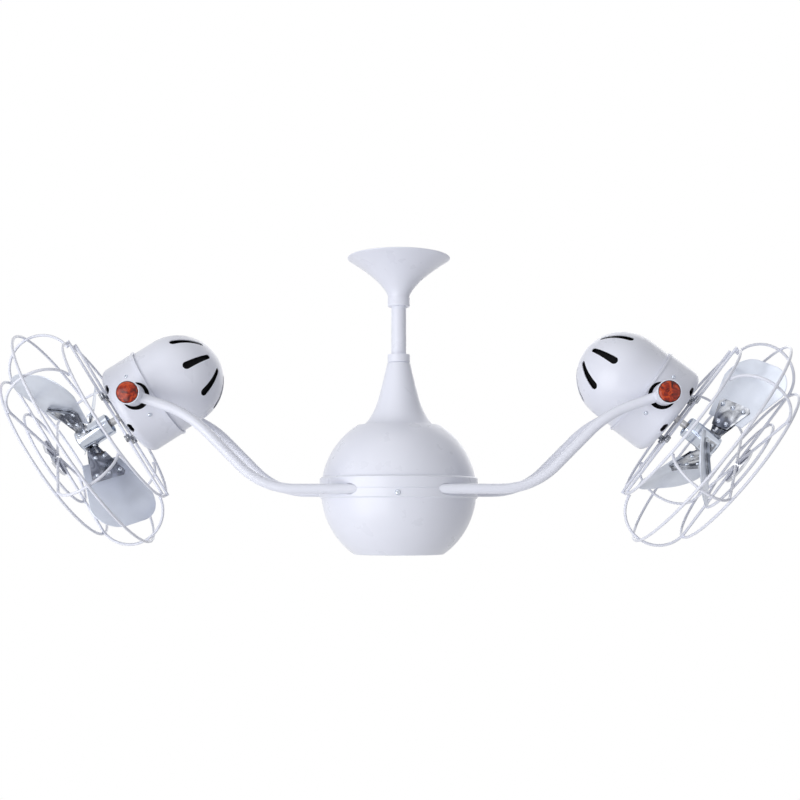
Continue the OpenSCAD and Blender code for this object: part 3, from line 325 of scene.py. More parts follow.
@dataclass(frozen=True)
class PolishedBlade(Finish):
    """Buffed pale aluminium: soft clouds of tone and haze, and a barely uneven sheet."""

    tone: Grain = Grain(16.0, 2.0, 0.6)
    tones: tuple[Span, ...] = ((0.32, 0.84), (0.62, 1.03))
    haze: Grain = Grain(34.0)
    roughness: Span = (0.32, 0.42)
    relief: Grain = Grain(20.0, 1.0)
    strength: float = 0.05
    height: float = 0.001
    metallic: float = 0.7


@dataclass(frozen=True)
class Pressed(Finish):
    """Plated pressings: bright metal with cloudy darker passages, painted reflections of a darker surround,
    and a fine haze.
    """

    # Painted reflection: the colour of the dark passages that stand in for dark surroundings seen in the metal
    dark: Colour = (0.20, 0.21, 0.24)
    places: Point = (0.40, 0.50, 0.62)
    between: float = 0.6
    tone: Grain = Grain(46.0, 4.0, 1.2)
    haze: Grain = Grain(180.0, 5.0)
    roughness: Span = (0.096, 0.24)
    relief: Grain = Grain(130.0)
    strength: float = 0.14
    height: float = 0.0004
    metallic: float = 1.0

    def stops(self) -> Stops:
        """From the painted dark reflections over a middle tone to the bright metal."""
        return list(zip(self.places, (self.dark, lighter(self.colour, self.between), self.colour)))


@dataclass(frozen=True)
class PolishedStone(Finish):
    """A polished cabochon: red-brown mottling, dark veins and a wet gloss."""

    dark: Colour = (0.015, 0.003, 0.002)
    light: Colour = (0.55, 0.065, 0.008)
    places: tuple[float, float, float, float] = (0.30, 0.47, 0.60, 0.72)
    tone: Grain = Grain(125.0, 5.0, 1.2)
    haze: Grain = Grain(90.0)
    roughness: Span = (0.10, 0.2)
    relief: Grain = Grain(260.0)
    cellular: bool = True
    strength: float = 0.05
    height: float = 0.0002
    specular: float = 0.2
    coat: float = 0.22

    def stops(self) -> Stops:
        """From the dark veins over the ground to the light mottling and back."""
        return list(zip(self.places, (self.dark, self.colour, self.light, self.colour)))


class Look(Enum):
    """What a surface looks like."""

    ENAMEL = "enamel"
    CHROME = "chrome"
    STEEL = "bare_steel"
    BLADE = "blade_metal"
    MOULDED = "moulded"
    STONE = "stone"
    BRONZE = "bronze"
    # Painted shade: a near-black finish put where the heads' insides and the stones' rims lie in shade
    PAINTED_SHADE = "varnish"
    IRON = "pressed_iron"
    TURNED = "turned_plate"


LOOKS: dict[Look, tuple[str, Finish]] = {
    Look.ENAMEL: ("enamel", Enamel("white_enamel", (0.775, 0.795, 0.895))),
    Look.CHROME: ("chrome", Plated("bright_chrome", (0.56, 0.60, 0.68))),
    Look.STEEL: ("bare_steel", Brushed("zinc_plated_steel", (0.52, 0.52, 0.54))),
    Look.BLADE: ("blade_metal", PolishedBlade("buffed_blade_metal", (0.66, 0.70, 0.79))),
    Look.MOULDED: ("moulded", Moulded("moulded_black", (0.045, 0.045, 0.05))),
    Look.STONE: ("stone", PolishedStone("red_jasper", (0.27, 0.016, 0.004))),
    Look.BRONZE: ("bronze", Brushed("sintered_bronze", (0.55, 0.36, 0.17), roughness=(0.34, 0.52),
                                    lines=Grain(1.0, 6.0, stretch=(300.0, 300.0, 300.0)))),
    # Painted shade: a near-black matte finish that stands in for the shade inside the heads and round the
    # stones
    Look.PAINTED_SHADE: ("moulded", Moulded("painted_shade_black", (0.006, 0.006, 0.007), roughness=(0.52, 0.68),
                                      specular=0.06)),
    Look.IRON: ("chrome", Pressed("pressed_iron", (0.56, 0.58, 0.63))),
    Look.TURNED: ("chrome", Plated("turned_plate", (0.60, 0.61, 0.65), roughness=(0.072, 0.192),
                                   strength=0.02)),
}


class Paints:
    """The materials, each made once when it is first asked for."""

    def __init__(self) -> None:
        """Starts with none made."""
        self._made: dict[Look, bpy.types.Material] = {}

    def of(self, look: Look) -> bpy.types.Material:
        """The material of a look."""
        if look not in self._made:
            self._made[look] = LOOKS[look][1].make()
        return self._made[look]


def dress(frame: dict[str, Any], paints: Paints) -> None:
    """Gives every CAD node the finish of its slot in the record, and near-black painted shade to the heads'
    insides.

    Args:
        paints: The materials.
    """
    looks = {part["node"]: Look(part["material_slot"]) for part in frame["record"]["subparts"]}
    for name, node in frame["nodes"].items():
        # Motor frame, stator and pivot hardware get painted shade instead of their slot's finish
        look = Look.PAINTED_SHADE if name.endswith(PAINTED_SHADE_NODES) else looks[name]
        node.data.materials.clear()
        node.data.materials.append(paints.of(look))
    LOG.info("dressed %d nodes", len(looks))


# ---------------------------------------------------------------- mesh work


def to_object(name: str, mesh: bpy.types.Mesh) -> bpy.types.Object:
    """A mesh in metres as an object at the origin, smooth except over its creases."""
    work = bmesh.new()
    work.from_mesh(mesh)
    bmesh.ops.recalc_face_normals(work, faces=work.faces)
    work.to_mesh(mesh)
    work.free()
    mesh.polygons.foreach_set("use_smooth", [True] * len(mesh.polygons))
    mesh.set_sharp_from_angle(angle=CREASE)
    return in_scene(name, mesh)


def in_scene(name: str, mesh: bpy.types.Mesh) -> bpy.types.Object:
    """A mesh as an object that stands in the scene."""
    thing = bpy.data.objects.new(name, mesh)
    bpy.context.scene.collection.objects.link(thing)
    return thing


def kept_result(thing: bpy.types.Object) -> bpy.types.Object:
    """The object with what its modifiers make as its plain mesh, sharp over its creases."""
    graph = bpy.context.evaluated_depsgraph_get()
    mesh = bpy.data.meshes.new_from_object(thing.evaluated_get(graph), depsgraph=graph)
    thing.modifiers.clear()
    thing.data = mesh
    mesh.set_sharp_from_angle(angle=CREASE)
    return thing


@dataclass
class Clay:
    """Vertices and faces in millimetres, gathered before they become one mesh."""

    spots: list[Vector] = field(default_factory=list)
    faces: list[tuple[int, ...]] = field(default_factory=list)

    def grid(self, rows: Sequence[Sequence[Vector]], ring: bool = False, loop: bool = False) -> None:
        """Quads between rows of points.

        Args:
            rows: Rows of equally many points.
            ring: Whether each row closes on itself.
            loop: Whether the last row meets the first.
        """
        base, wide, deep = len(self.spots), len(rows[0]), len(rows)
        for row in rows:
            self.spots.extend(row)
        for i in range(deep if loop else deep - 1):
            for j in range(wide if ring else wide - 1):
                a, b = base + i * wide, base + (i + 1) % deep * wide
                k = (j + 1) % wide
                self.faces.append((a + j, a + k, b + k, b + j))

    def lathe(self, profile: Profile, place: Matrix, sides: int = 96, loop: bool = False) -> None:
        """Turns a profile of radius and height about the placed Z axis.

        Args:
            profile: Radii and heights.
            place: Where the lathe's own frame stands.
            sides: How many flat sides a turn has.
            loop: Whether the profile closes on itself.
        """
        turns = circle(1.0, sides)
        self.grid([[place @ Vector((r * c, r * s, z)) for c, s in turns] for r, z in profile],
                  ring=True, loop=loop)

    def slab(self, low: Rows, high: Rows) -> None:
        """A closed sheet between two surfaces of the same layout."""
        deep, wide = len(low), len(low[0])
        self.grid(low)
        self.grid(high)
        edge = ([(i, 0) for i in range(deep)] + [(deep - 1, j) for j in range(1, wide)]
                + [(i, wide - 1) for i in range(deep - 2, -1, -1)] + [(0, j) for j in range(wide - 2, 0, -1)])
        self.grid([[surface[i][j] for i, j in edge] for surface in (low, high)], ring=True)

    def mesh(self, name: str) -> bpy.types.Mesh:
        """The gathered faces as one mesh in metres, with points that coincide merged."""
        mesh = bpy.data.meshes.new(name)
        mesh.from_pydata([spot * MM for spot in self.spots], [], self.faces)
        work = bmesh.new()
        work.from_mesh(mesh)
        bmesh.ops.remove_doubles(work, verts=work.verts, dist=MERGE)
        bmesh.ops.dissolve_degenerate(work, edges=work.edges, dist=THIN)
        work.to_mesh(mesh)
        work.free()
        return mesh


# ---------------------------------------------------------------- geometry nodes


class NodeRecipe:
    """A geometry node tree while it is being laid out."""

    def __init__(self, name: str, inputs: dict[str, str]) -> None:
        """Starts a tree with a geometry input and output and further inputs.

        Args:
            name: The tree's name.
            inputs: The further inputs' names and socket types.
        """
        self.tree = bpy.data.node_groups.new(name, "GeometryNodeTree")
        face = self.tree.interface
        for way in ("INPUT", "OUTPUT"):
            face.new_socket("Geometry", in_out=way, socket_type="NodeSocketGeometry")
        self.keys = {label: face.new_socket(label, in_out="INPUT", socket_type=kind).identifier
                     for label, kind in inputs.items()}
        self.start = self.tree.nodes.new("NodeGroupInput")
        self.end = self.tree.nodes.new("NodeGroupOutput")

    def node(self, kind: str, **inputs: Any) -> bpy.types.Node:
        """Adds a node, with inputs as for add_node."""
        return add_node(self.tree, kind, **inputs)

    def given(self, label: str) -> bpy.types.NodeSocket:
        """The socket of one of the tree's inputs."""
        return self.start.outputs[label]

    def attribute(self, name: str) -> bpy.types.NodeSocket:
        """The socket of the points' vector attribute of that name."""
        node = self.node("GeometryNodeInputNamedAttribute", Name=name)
        node.data_type = "FLOAT_VECTOR"
        return node.outputs["Attribute"]

    def finish(self, geometry: bpy.types.NodeSocket) -> None:
        """Realizes what was made, shades it smooth and gives it the tree's material."""
        real = self.node("GeometryNodeRealizeInstances", Geometry=geometry)
        smooth = self.node("GeometryNodeSetShadeSmooth", Geometry=real.outputs[0])
        done = self.node("GeometryNodeSetMaterial", Geometry=smooth.outputs[0],
                         Material=self.given("Material"))
        self.tree.links.new(done.outputs[0], self.end.inputs[0])

    def apply(self, thing: bpy.types.Object, **values: Any) -> bpy.types.Object:
        """Runs the tree on an object and keeps the result as its plain mesh.

        Args:
            thing: The object with the points or paths.
            values: The tree's inputs, spaces in whose names are underscores here.

        Returns:
            The same object.
        """
        modifier = thing.modifiers.new(self.tree.name, "NODES")
        modifier.node_group = self.tree
        for name, value in values.items():
            modifier[self.keys[name.replace("_", " ")]] = value
        return kept_result(thing)


def swept_wire() -> NodeRecipe:
    """Turns each path of edges into a round wire."""
    recipe = NodeRecipe("swept_wire", {
        "Wire Radius": "NodeSocketFloat", "Sides": "NodeSocketInt", "Material": "NodeSocketMaterial"})
    path = recipe.node("GeometryNodeMeshToCurve", Mesh=recipe.given("Geometry"))
    ring = recipe.node("GeometryNodeCurvePrimitiveCircle", Radius=recipe.given("Wire Radius"),
                       Resolution=recipe.given("Sides"))
    wire = recipe.node("GeometryNodeCurveToMesh", Curve=path.outputs[0], Profile_Curve=ring.outputs[0],
                       Fill_Caps=True)
    recipe.finish(wire.outputs[0])
    return recipe


def stamped() -> NodeRecipe:
    """Sets a copy of a stamp on each point, turned and scaled by the point's attributes."""
    recipe = NodeRecipe("stamped", {"Stamp": "NodeSocketObject", "Material": "NodeSocketMaterial"})
    stamp = recipe.node("GeometryNodeObjectInfo", Object=recipe.given("Stamp"))
    rotation = recipe.node("FunctionNodeEulerToRotation", Euler=recipe.attribute("turn"))
    points = recipe.node("GeometryNodeMeshToPoints", Mesh=recipe.given("Geometry"))
    copies = recipe.node("GeometryNodeInstanceOnPoints", Points=points.outputs[0],
                         Instance=stamp.outputs["Geometry"], Rotation=rotation.outputs[0],
                         Scale=recipe.attribute("size"))
    recipe.finish(copies.outputs[0])
    return recipe


Place = tuple[Matrix, Vector]


@dataclass
class Works:
    """What every sub-assembly shares: looks, the two recipes and the handing over of pieces."""

    paints: Paints
    wire: NodeRecipe = field(default_factory=swept_wire)
    stamper: NodeRecipe = field(default_factory=stamped)

    def piece(self, name: str, clay: Clay, look: Look, body: str, *nodes: str) -> None:
        """Turns clay into a finished piece.

        Args:
            name: The piece's name.
            clay: Its faces.
            look: Its finish.
            body: The body it rides on.
            nodes: The CAD nodes it stands for.
        """
        thing = to_object(name, clay.mesh(name))
        thing.data.materials.append(self.paints.of(look))
        self.hand_over(thing, look, body, *nodes)

    def wires(self, name: str, paths: Sequence[tuple[Sequence[Vector], bool]], radius: float, look: Look,
              body: str, *nodes: str, sides: int = 14) -> None:
        """Sweeps round wires along paths.

        Args:
            name: The piece's name.
            paths: Points in millimetres, and whether each path closes.
            radius: The wires' radius in millimetres.
            look: Their finish.
            body: The body they ride on.
            nodes: The CAD nodes they stand for.
            sides: How many flat sides a wire has.
        """
        spots: list[Vector] = []
        edges: list[tuple[int, int]] = []
        for path, closed in paths:
            base, count = len(spots), len(path)
            spots.extend(spot * MM for spot in path)
            edges.extend((base + k, base + (k + 1) % count) for k in range(count if closed else count - 1))
        mesh = bpy.data.meshes.new(name)
        mesh.from_pydata(spots, edges, [])
        thing = self.wire.apply(in_scene(name, mesh), Wire_Radius=radius * MM, Sides=sides,
                                Material=self.paints.of(look))
        self.hand_over(thing, look, body, *nodes)

    def stamps(self, name: str, stamp: bpy.types.Object, places: Sequence[Place], look: Look, body: str,
               *nodes: str) -> None:
        """Sets copies of a stamp.

        Args:
            name: The piece's name.
            stamp: The object that is copied.
            places: Each copy's frame in millimetres and its size along three axes.
            look: Their finish.
            body: The body they ride on.
            nodes: The CAD nodes they stand for.
        """
        mesh = bpy.data.meshes.new(name)
        mesh.from_pydata([place.translation * MM for place, _ in places], [], [])
        for label, vectors in (("turn", [place.to_euler() for place, _ in places]),
                               ("size", [size for _, size in places])):
            data = mesh.attributes.new(label, "FLOAT_VECTOR", "POINT").data
            data.foreach_set("vector", [part for vector in vectors for part in vector])
        thing = self.stamper.apply(in_scene(name, mesh), Stamp=stamp, Material=self.paints.of(look))
        self.hand_over(thing, look, body, *nodes)

    @staticmethod
    def hand_over(thing: bpy.types.Object, look: Look, body: str, *nodes: str) -> None:
        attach(thing, body)
        if nodes:
            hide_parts(*nodes)
        LOG.info("%s: %d faces on %s", thing.name, len(thing.data.polygons), body)


def stamp_of(name: str, clay: Clay, cutter: Clay | None = None) -> bpy.types.Object:
    """A stamp that is copied but not shown itself, with a recess cut out if asked.

    Args:
        name: The stamp's name.
        clay: Its faces, about its own origin.
        cutter: What is cut out of it.

    Returns:
        The stamp, in no collection.
    """
    thing = to_object(name, clay.mesh(name))
    if cutter:
        tool = to_object(name + "_cutter", cutter.mesh(name + "_cutter"))
        cut = thing.modifiers.new("recess", "BOOLEAN")
        cut.operation, cut.object, cut.solver = "DIFFERENCE", tool, "EXACT"
        kept_result(thing)
        bpy.data.objects.remove(tool)
    bpy.context.scene.collection.objects.unlink(thing)
    return thing


@dataclass
class Fasteners:
    """Stamps one millimetre in radius: a cross-recessed screw head, a cap nut and a weld bead."""

    sides: int = 28
    rise: float = 0.62
    seat: float = 0.06
    dome_power: float = 0.8
    dome_steps: int = 7
    shank: float = 0.62
    shank_l: float = 1.0
    under_r: float = 0.96
    recess_half: float = 0.14
    recess_reach: float = 0.62
    recess_depth: float = 0.36
    nut_sides: int = 6
    nut_h: float = 0.45
    nut_edge: float = 0.05
    nut_foot_r: float = 0.98
    nut_shoulder_r: float = 0.86
    cap_r: float = 0.84
    bead_rings: int = 6
    bead_sides: int = 12

    def __post_init__(self) -> None:
        """Makes the three stamps."""
        self.screw = stamp_of("screw_stamp", self._dome(), self._cross())
        self.nut = stamp_of("nut_stamp", self._cap())
        self.bead = stamp_of("bead_stamp", self._bead())

    def _dome_profile(self, radius: float, foot: float) -> list[tuple[float, float]]:
        """A dome with a softly rounded edge, from its edge to its top."""
        turns = even(0.0, math.pi / 2, self.dome_steps)[:-1]
        return [(radius * math.cos(a) ** self.dome_power, foot + self.rise * math.sin(a))
                for a in turns] + [(0.0, foot + self.rise)]

    def _dome(self) -> Clay:
        """A domed head on the start of its shank."""
        clay = Clay()
        foot = [(0.0, -self.shank_l), (self.shank, -self.shank_l), (self.shank, 0.0), (self.under_r, 0.0)]
        clay.lathe(foot + self._dome_profile(1.0, self.seat), Matrix.Identity(4), self.sides)
        return clay

    def _cross(self) -> Clay:
        """The tool that cuts the cross recess."""
        clay = Clay()
        half, reach = self.recess_half, self.recess_reach
        rim = [(reach, -half), (reach, half), (half, half)]
        for _ in range(3):
            rim += [(-y, x) for x, y in rim[-3:]]
        heights = (self.rise - self.recess_depth, 2 * self.rise)
        clay.grid([[Vector((x, y, z)) for x, y in rim] for z in heights], ring=True)
        for start in (0, len(rim)):
            clay.faces.append(tuple(start + k for k in range(len(rim))))
        return clay

    def _cap(self) -> Clay:
        """A hexagon under a low dome."""
        clay = Clay()
        top = self.nut_h + self.seat
        clay.lathe([(0.0, 0.0), (self.nut_foot_r, 0.0), (1.0, self.nut_edge), (1.0, self.nut_h),
                    (self.nut_shoulder_r, top), (0.0, top)], Matrix.Identity(4), self.nut_sides)
        clay.lathe([(0.0, self.nut_h)] + self._dome_profile(self.cap_r, self.nut_h),
                   Matrix.Identity(4), self.sides)
        return clay

    def _bead(self) -> Clay:
        """A round bead."""
        clay = Clay()
        clay.lathe([(math.sin(a), -math.cos(a)) for a in even(0.0, math.pi, self.bead_rings)],
                   Matrix.Identity(4), self.bead_sides)
        return clay


def scaled(size: float) -> Vector:
    """A stamp's size in millimetres, the same along all three axes."""
    return Vector((size, size, size))


# ---------------------------------------------------------------- the hanging parts


@dataclass
class Hanging:
    """Canopy and neck cone, spun smooth with turned edges."""

    works: Works
    canopy_r: float = 69.8
    canopy_h: float = 54.8
    canopy_neck_r: float = 14.4
    canopy_wall: float = 1.0
    canopy_flare: float = 1.55
    canopy_edge: float = 1.2
    canopy_end: float = 0.999
    rim_arc: tuple[float, float, int] = (-60, 90, 8)
    neck_top: float = -144.0
    neck_h: float = 84.1
    neck_top_r: float = 15.5
    neck_slope: float = 0.235
    neck_flare: float = 11.7
    neck_power: float = 5.5
    neck_wall: float = 1.2
    neck_edge: float = 0.9
    shoulder_arc: tuple[float, float, int] = (90, 10, 6)
    rod_hole: float = 10.2
    top_wall: float = 1.5
    steps: int = 72
    sides: int = 144

    def build(self) -> None:
        """Makes both pieces."""
        neck = shifted(0.0, 0.0, self.neck_top)
        for name, profile, place, node in (
                ("canopy_trumpet", self._canopy(), Matrix.Identity(4), "canopy"),
                ("neck_trumpet", self._neck(), neck, "neck_cone")):
            clay = Clay()
            clay.lathe(profile, place, self.sides, loop=True)
            self.works.piece(name, clay, Look.ENAMEL, "hanger", node)

    @staticmethod
    def _beside(line: Profile, wall: float) -> list[tuple[float, float]]:
        """The line moved to its left by a wall, at right angles to itself."""
        moved = []
        for k, (r, z) in enumerate(line):
            before, after = line[max(0, k - 1)], line[min(len(line) - 1, k + 1)]
            along = Vector((after[0] - before[0], after[1] - before[1])).normalized()
            moved.append((r - along.y * wall, z + along.x * wall))
        return moved

    def _canopy(self) -> Profile:
        """The canopy's closed profile: outside up to the rim, round it, and back down inside."""
        flare, tall = self.canopy_r - self.canopy_neck_r, self.canopy_h - self.canopy_edge
        line = [(self.canopy_neck_r + flare * (1 - part) ** self.canopy_flare,
                 -self.canopy_edge - tall * part) for part in even(self.canopy_end, 0.0, self.steps)]
        inner = [spot for spot in self._beside(line, self.canopy_wall) if spot[1] < -self.canopy_edge / 3]
        half = self.canopy_edge / 2
        rim = arc((self.canopy_r - half, -half), half, *self.rim_arc) + [(self.canopy_r - 2 * half, 0.0)]
        return line[:-1] + rim + inner[::-1]

    def _neck(self) -> Profile:
        """The neck cone's closed profile, from the hole round the rod outwards and down."""
        outer = [(self.neck_top_r + self.neck_slope * down
                  + self.neck_flare * (down / self.neck_h) ** self.neck_power, -down)
                 for down in even(0.0, self.neck_h, self.steps) if down > self.neck_edge]
        inner = self._beside(outer, -self.neck_wall)
        edge = self.neck_edge
        shoulder = arc((self.neck_top_r - edge, -edge), edge, *self.shoulder_arc)
        return ([(self.rod_hole, -self.top_wall), (self.rod_hole, 0.0)] + shoulder + outer
                + [spot for spot in inner[::-1] if spot[1] < -self.top_wall]
                + [(self.neck_top_r - self.neck_wall, -self.top_wall)])


# ---------------------------------------------------------------- the carousel


@dataclass
class Carousel:
    """The turning ball's details: arms with their hubs and welds, bezels, stones and belt screws."""

    works: Works
    kit: Fasteners
    pivot: Point
    hub_out: float = 106.0
    hub_r: float = 14.6
    bezel_r: float = 15.4
    bezel_top: float = 110.0
    bezel_wall: float = 0.75
    lip_steps: int = 10
    stone_floor: float = 107.2
    stone_gap: float = 0.1
    stone_r: float = 13.5
    stone_top: float = 112.7
    stone_power: float = 2.3
    stone_steps: int = 22
    girdle_down: float = 0.6
    # The near-black ring round each stone is painted shadow in the gap between stone and bezel
    shade_ring_r: float = 0.34
    shade_ring_steps: int = 72
    shade_ring_sides: int = 8
    hub_in: float = 73.0
    hub_edge: float = 0.8
    edge_steps: int = 6
    bore_r: float = 6.05
    pocket_r: float = 13.3
    pocket_floor: float = 97.0
    arm_r: float = 6.5
    arm_y: float = 85.0
    arm_start: float = 8.0
    arm_level: float = 130.0
    arm_bend_r: float = 100.0
    arm_rise: float = 45.0
    arm_rise_l: float = 61.0
    arm_top_bend_r: float = 140.0
    arm_slope: float = 19.0
    arm_end_l: float = 46.0
    bend_steps: int = 36
    arm_sides: int = 40
    weld_r: float = 1.1
    weld_steps: int = 56
    weld_sides: int = 10
    belt_r: float = 105.5
    belt_screw_down: float = 5.0
    belt_head_r: float = 3.6
    ball_z: float = -315.5

    def build(self) -> None:
        """Makes arms, hubs, bezels, stones, painted shade rings, belt screws and welds."""
        body = "carousel"
        ends = [(side, face) for side in BOTH for face in BOTH]
        bezels, stones, barrels = Clay(), Clay(), Clay()
        for side, face in ends:
            place = shifted(side * self.pivot[0], 0.0, self.pivot[2]) @ about("X", -90 * face)
            barrels.lathe(self._barrel(), place, loop=True)
            bezels.lathe(self._bezel(), place)
            stones.lathe(self._stone(), place)
        nodes = [f"{side}_{face}_arm" for side in ("left", "right") for face in ("front", "rear")]
        self.works.wires("bent_arm_tubes", [(self._route(*end), False) for end in ends], self.arm_r,
                         Look.ENAMEL, body, *nodes, sides=self.arm_sides)
        self.works.piece("arm_hub_barrels", barrels, Look.ENAMEL, body)
        self.works.piece("bezel_rings", bezels, Look.ENAMEL, body, "hub_bezels")
        self.works.piece("cabochons", stones, Look.STONE, body, "hub_stones")
        # Painted shade: a thin near-black ring where the gap between stone and bezel lies in shadow
        self.works.wires("stone_gaskets", [(self._shade_ring(*end), True) for end in ends], self.shade_ring_r,
                         Look.PAINTED_SHADE, body, sides=self.shade_ring_sides)
        screws = [(shifted(0.0, 0.0, self.ball_z - self.belt_screw_down) @ about("X", -90 * face)
                   @ shifted(0.0, 0.0, self.belt_r), scaled(self.belt_head_r)) for face in BOTH]
        self.works.stamps("belt_cross_screws", self.kit.screw, screws, Look.CHROME, body, "belt_screws")
        self.works.wires("arm_saddle_welds", [(self._saddle(*end), True) for end in ends], self.weld_r,
                         Look.ENAMEL, body, sides=self.weld_sides)

    def _route(self, side: int, face: int) -> list[Vector]:
        """The middle line of an arm, from inside the ball to its hub."""
        line = [(self.arm_start, 0.0)]
        line += arc((self.arm_level, self.arm_bend_r), self.arm_bend_r, -90, self.arm_rise - 90,
                    self.bend_steps)
        rise, slope = math.radians(self.arm_rise), math.radians(self.arm_slope)
        x = line[-1][0] + self.arm_rise_l * math.cos(rise)
        z = line[-1][1] + self.arm_rise_l * math.sin(rise)
        middle = (x + self.arm_top_bend_r * math.sin(rise), z - self.arm_top_bend_r * math.cos(rise))
        line += arc(middle, self.arm_top_bend_r, 90 + self.arm_rise, 90 + self.arm_slope, self.bend_steps)
        reach = self.arm_end_l - self.hub_r / 2
        line.append((line[-1][0] + reach * math.cos(slope), line[-1][1] + reach * math.sin(slope)))
        return [Vector((side * x, face * self.arm_y, self.ball_z + z)) for x, z in line]

    def _barrel(self) -> Profile:
        """An arm's hub: bored for the pivot, with a pocket behind its bezel and rounded edges."""
        edge = self.hub_edge
        return ([(self.bore_r, self.pocket_floor), (self.bore_r, self.hub_in)]
                + arc((self.hub_r - edge, self.hub_in + edge), edge, -90, 0, self.edge_steps)
                + [(self.hub_r, self.hub_out), (self.pocket_r, self.hub_out),
                   (self.pocket_r, self.pocket_floor)])

    def _bezel(self) -> Profile:
        """A cup with a turned lip that holds the stone."""
        wall = self.bezel_wall
        lip = arc((self.bezel_r - wall, self.bezel_top - wall), wall, 180, 0, self.lip_steps)
        return ([(0.0, self.stone_floor), (self.bezel_r - 2 * wall, self.stone_floor)] + lip
                + [(self.bezel_r, self.hub_out + wall / 2), (self.bezel_r - wall / 2, self.hub_out),
                   (0.0, self.hub_out)])

    def _stone(self) -> Profile:
        """A polished dome over a straight girdle."""
        girdle, power = self.bezel_top - self.girdle_down, self.stone_power
        foot = self.stone_floor + self.stone_gap
        line = [(0.0, foot), (self.stone_r, foot)]
        for turn in even(0.0, math.pi / 2, self.stone_steps)[:-1]:
            part = math.cos(turn)
            line.append((self.stone_r * part,
                         girdle + (self.stone_top - girdle) * (1 - part ** power) ** (1 / power)))
        return line + [(0.0, self.stone_top)]

    def _shade_ring(self, side: int, face: int) -> list[Vector]:
        """The dark ring between a stone and its bezel, painted shade in the gap."""
        out = face * (self.bezel_top - self.shade_ring_r)
        return [Vector((side * self.pivot[0] + x, out, self.pivot[2] + z))
                for x, z in circle(self.stone_r + self.shade_ring_r / 2, self.shade_ring_steps)]

    def _saddle(self, side: int, face: int) -> list[Vector]:
        """The line on which an arm's tube meets its hub."""
        slope = math.radians(self.arm_slope)
        along = Vector((-side * math.cos(slope), 0.0, -math.sin(slope)))
        across = Vector((0.0, 1.0, 0.0))
        third = along.cross(across)
        middle = Vector((side * self.pivot[0], face * self.arm_y, self.pivot[2]))
        line = []
        for level, up in circle(self.arm_r, self.weld_steps):
            reach = math.sqrt(self.hub_r ** 2 - up * up)
            line.append(middle + across * level + third * up + along * reach)
        return line


# ---------------------------------------------------------------- the heads


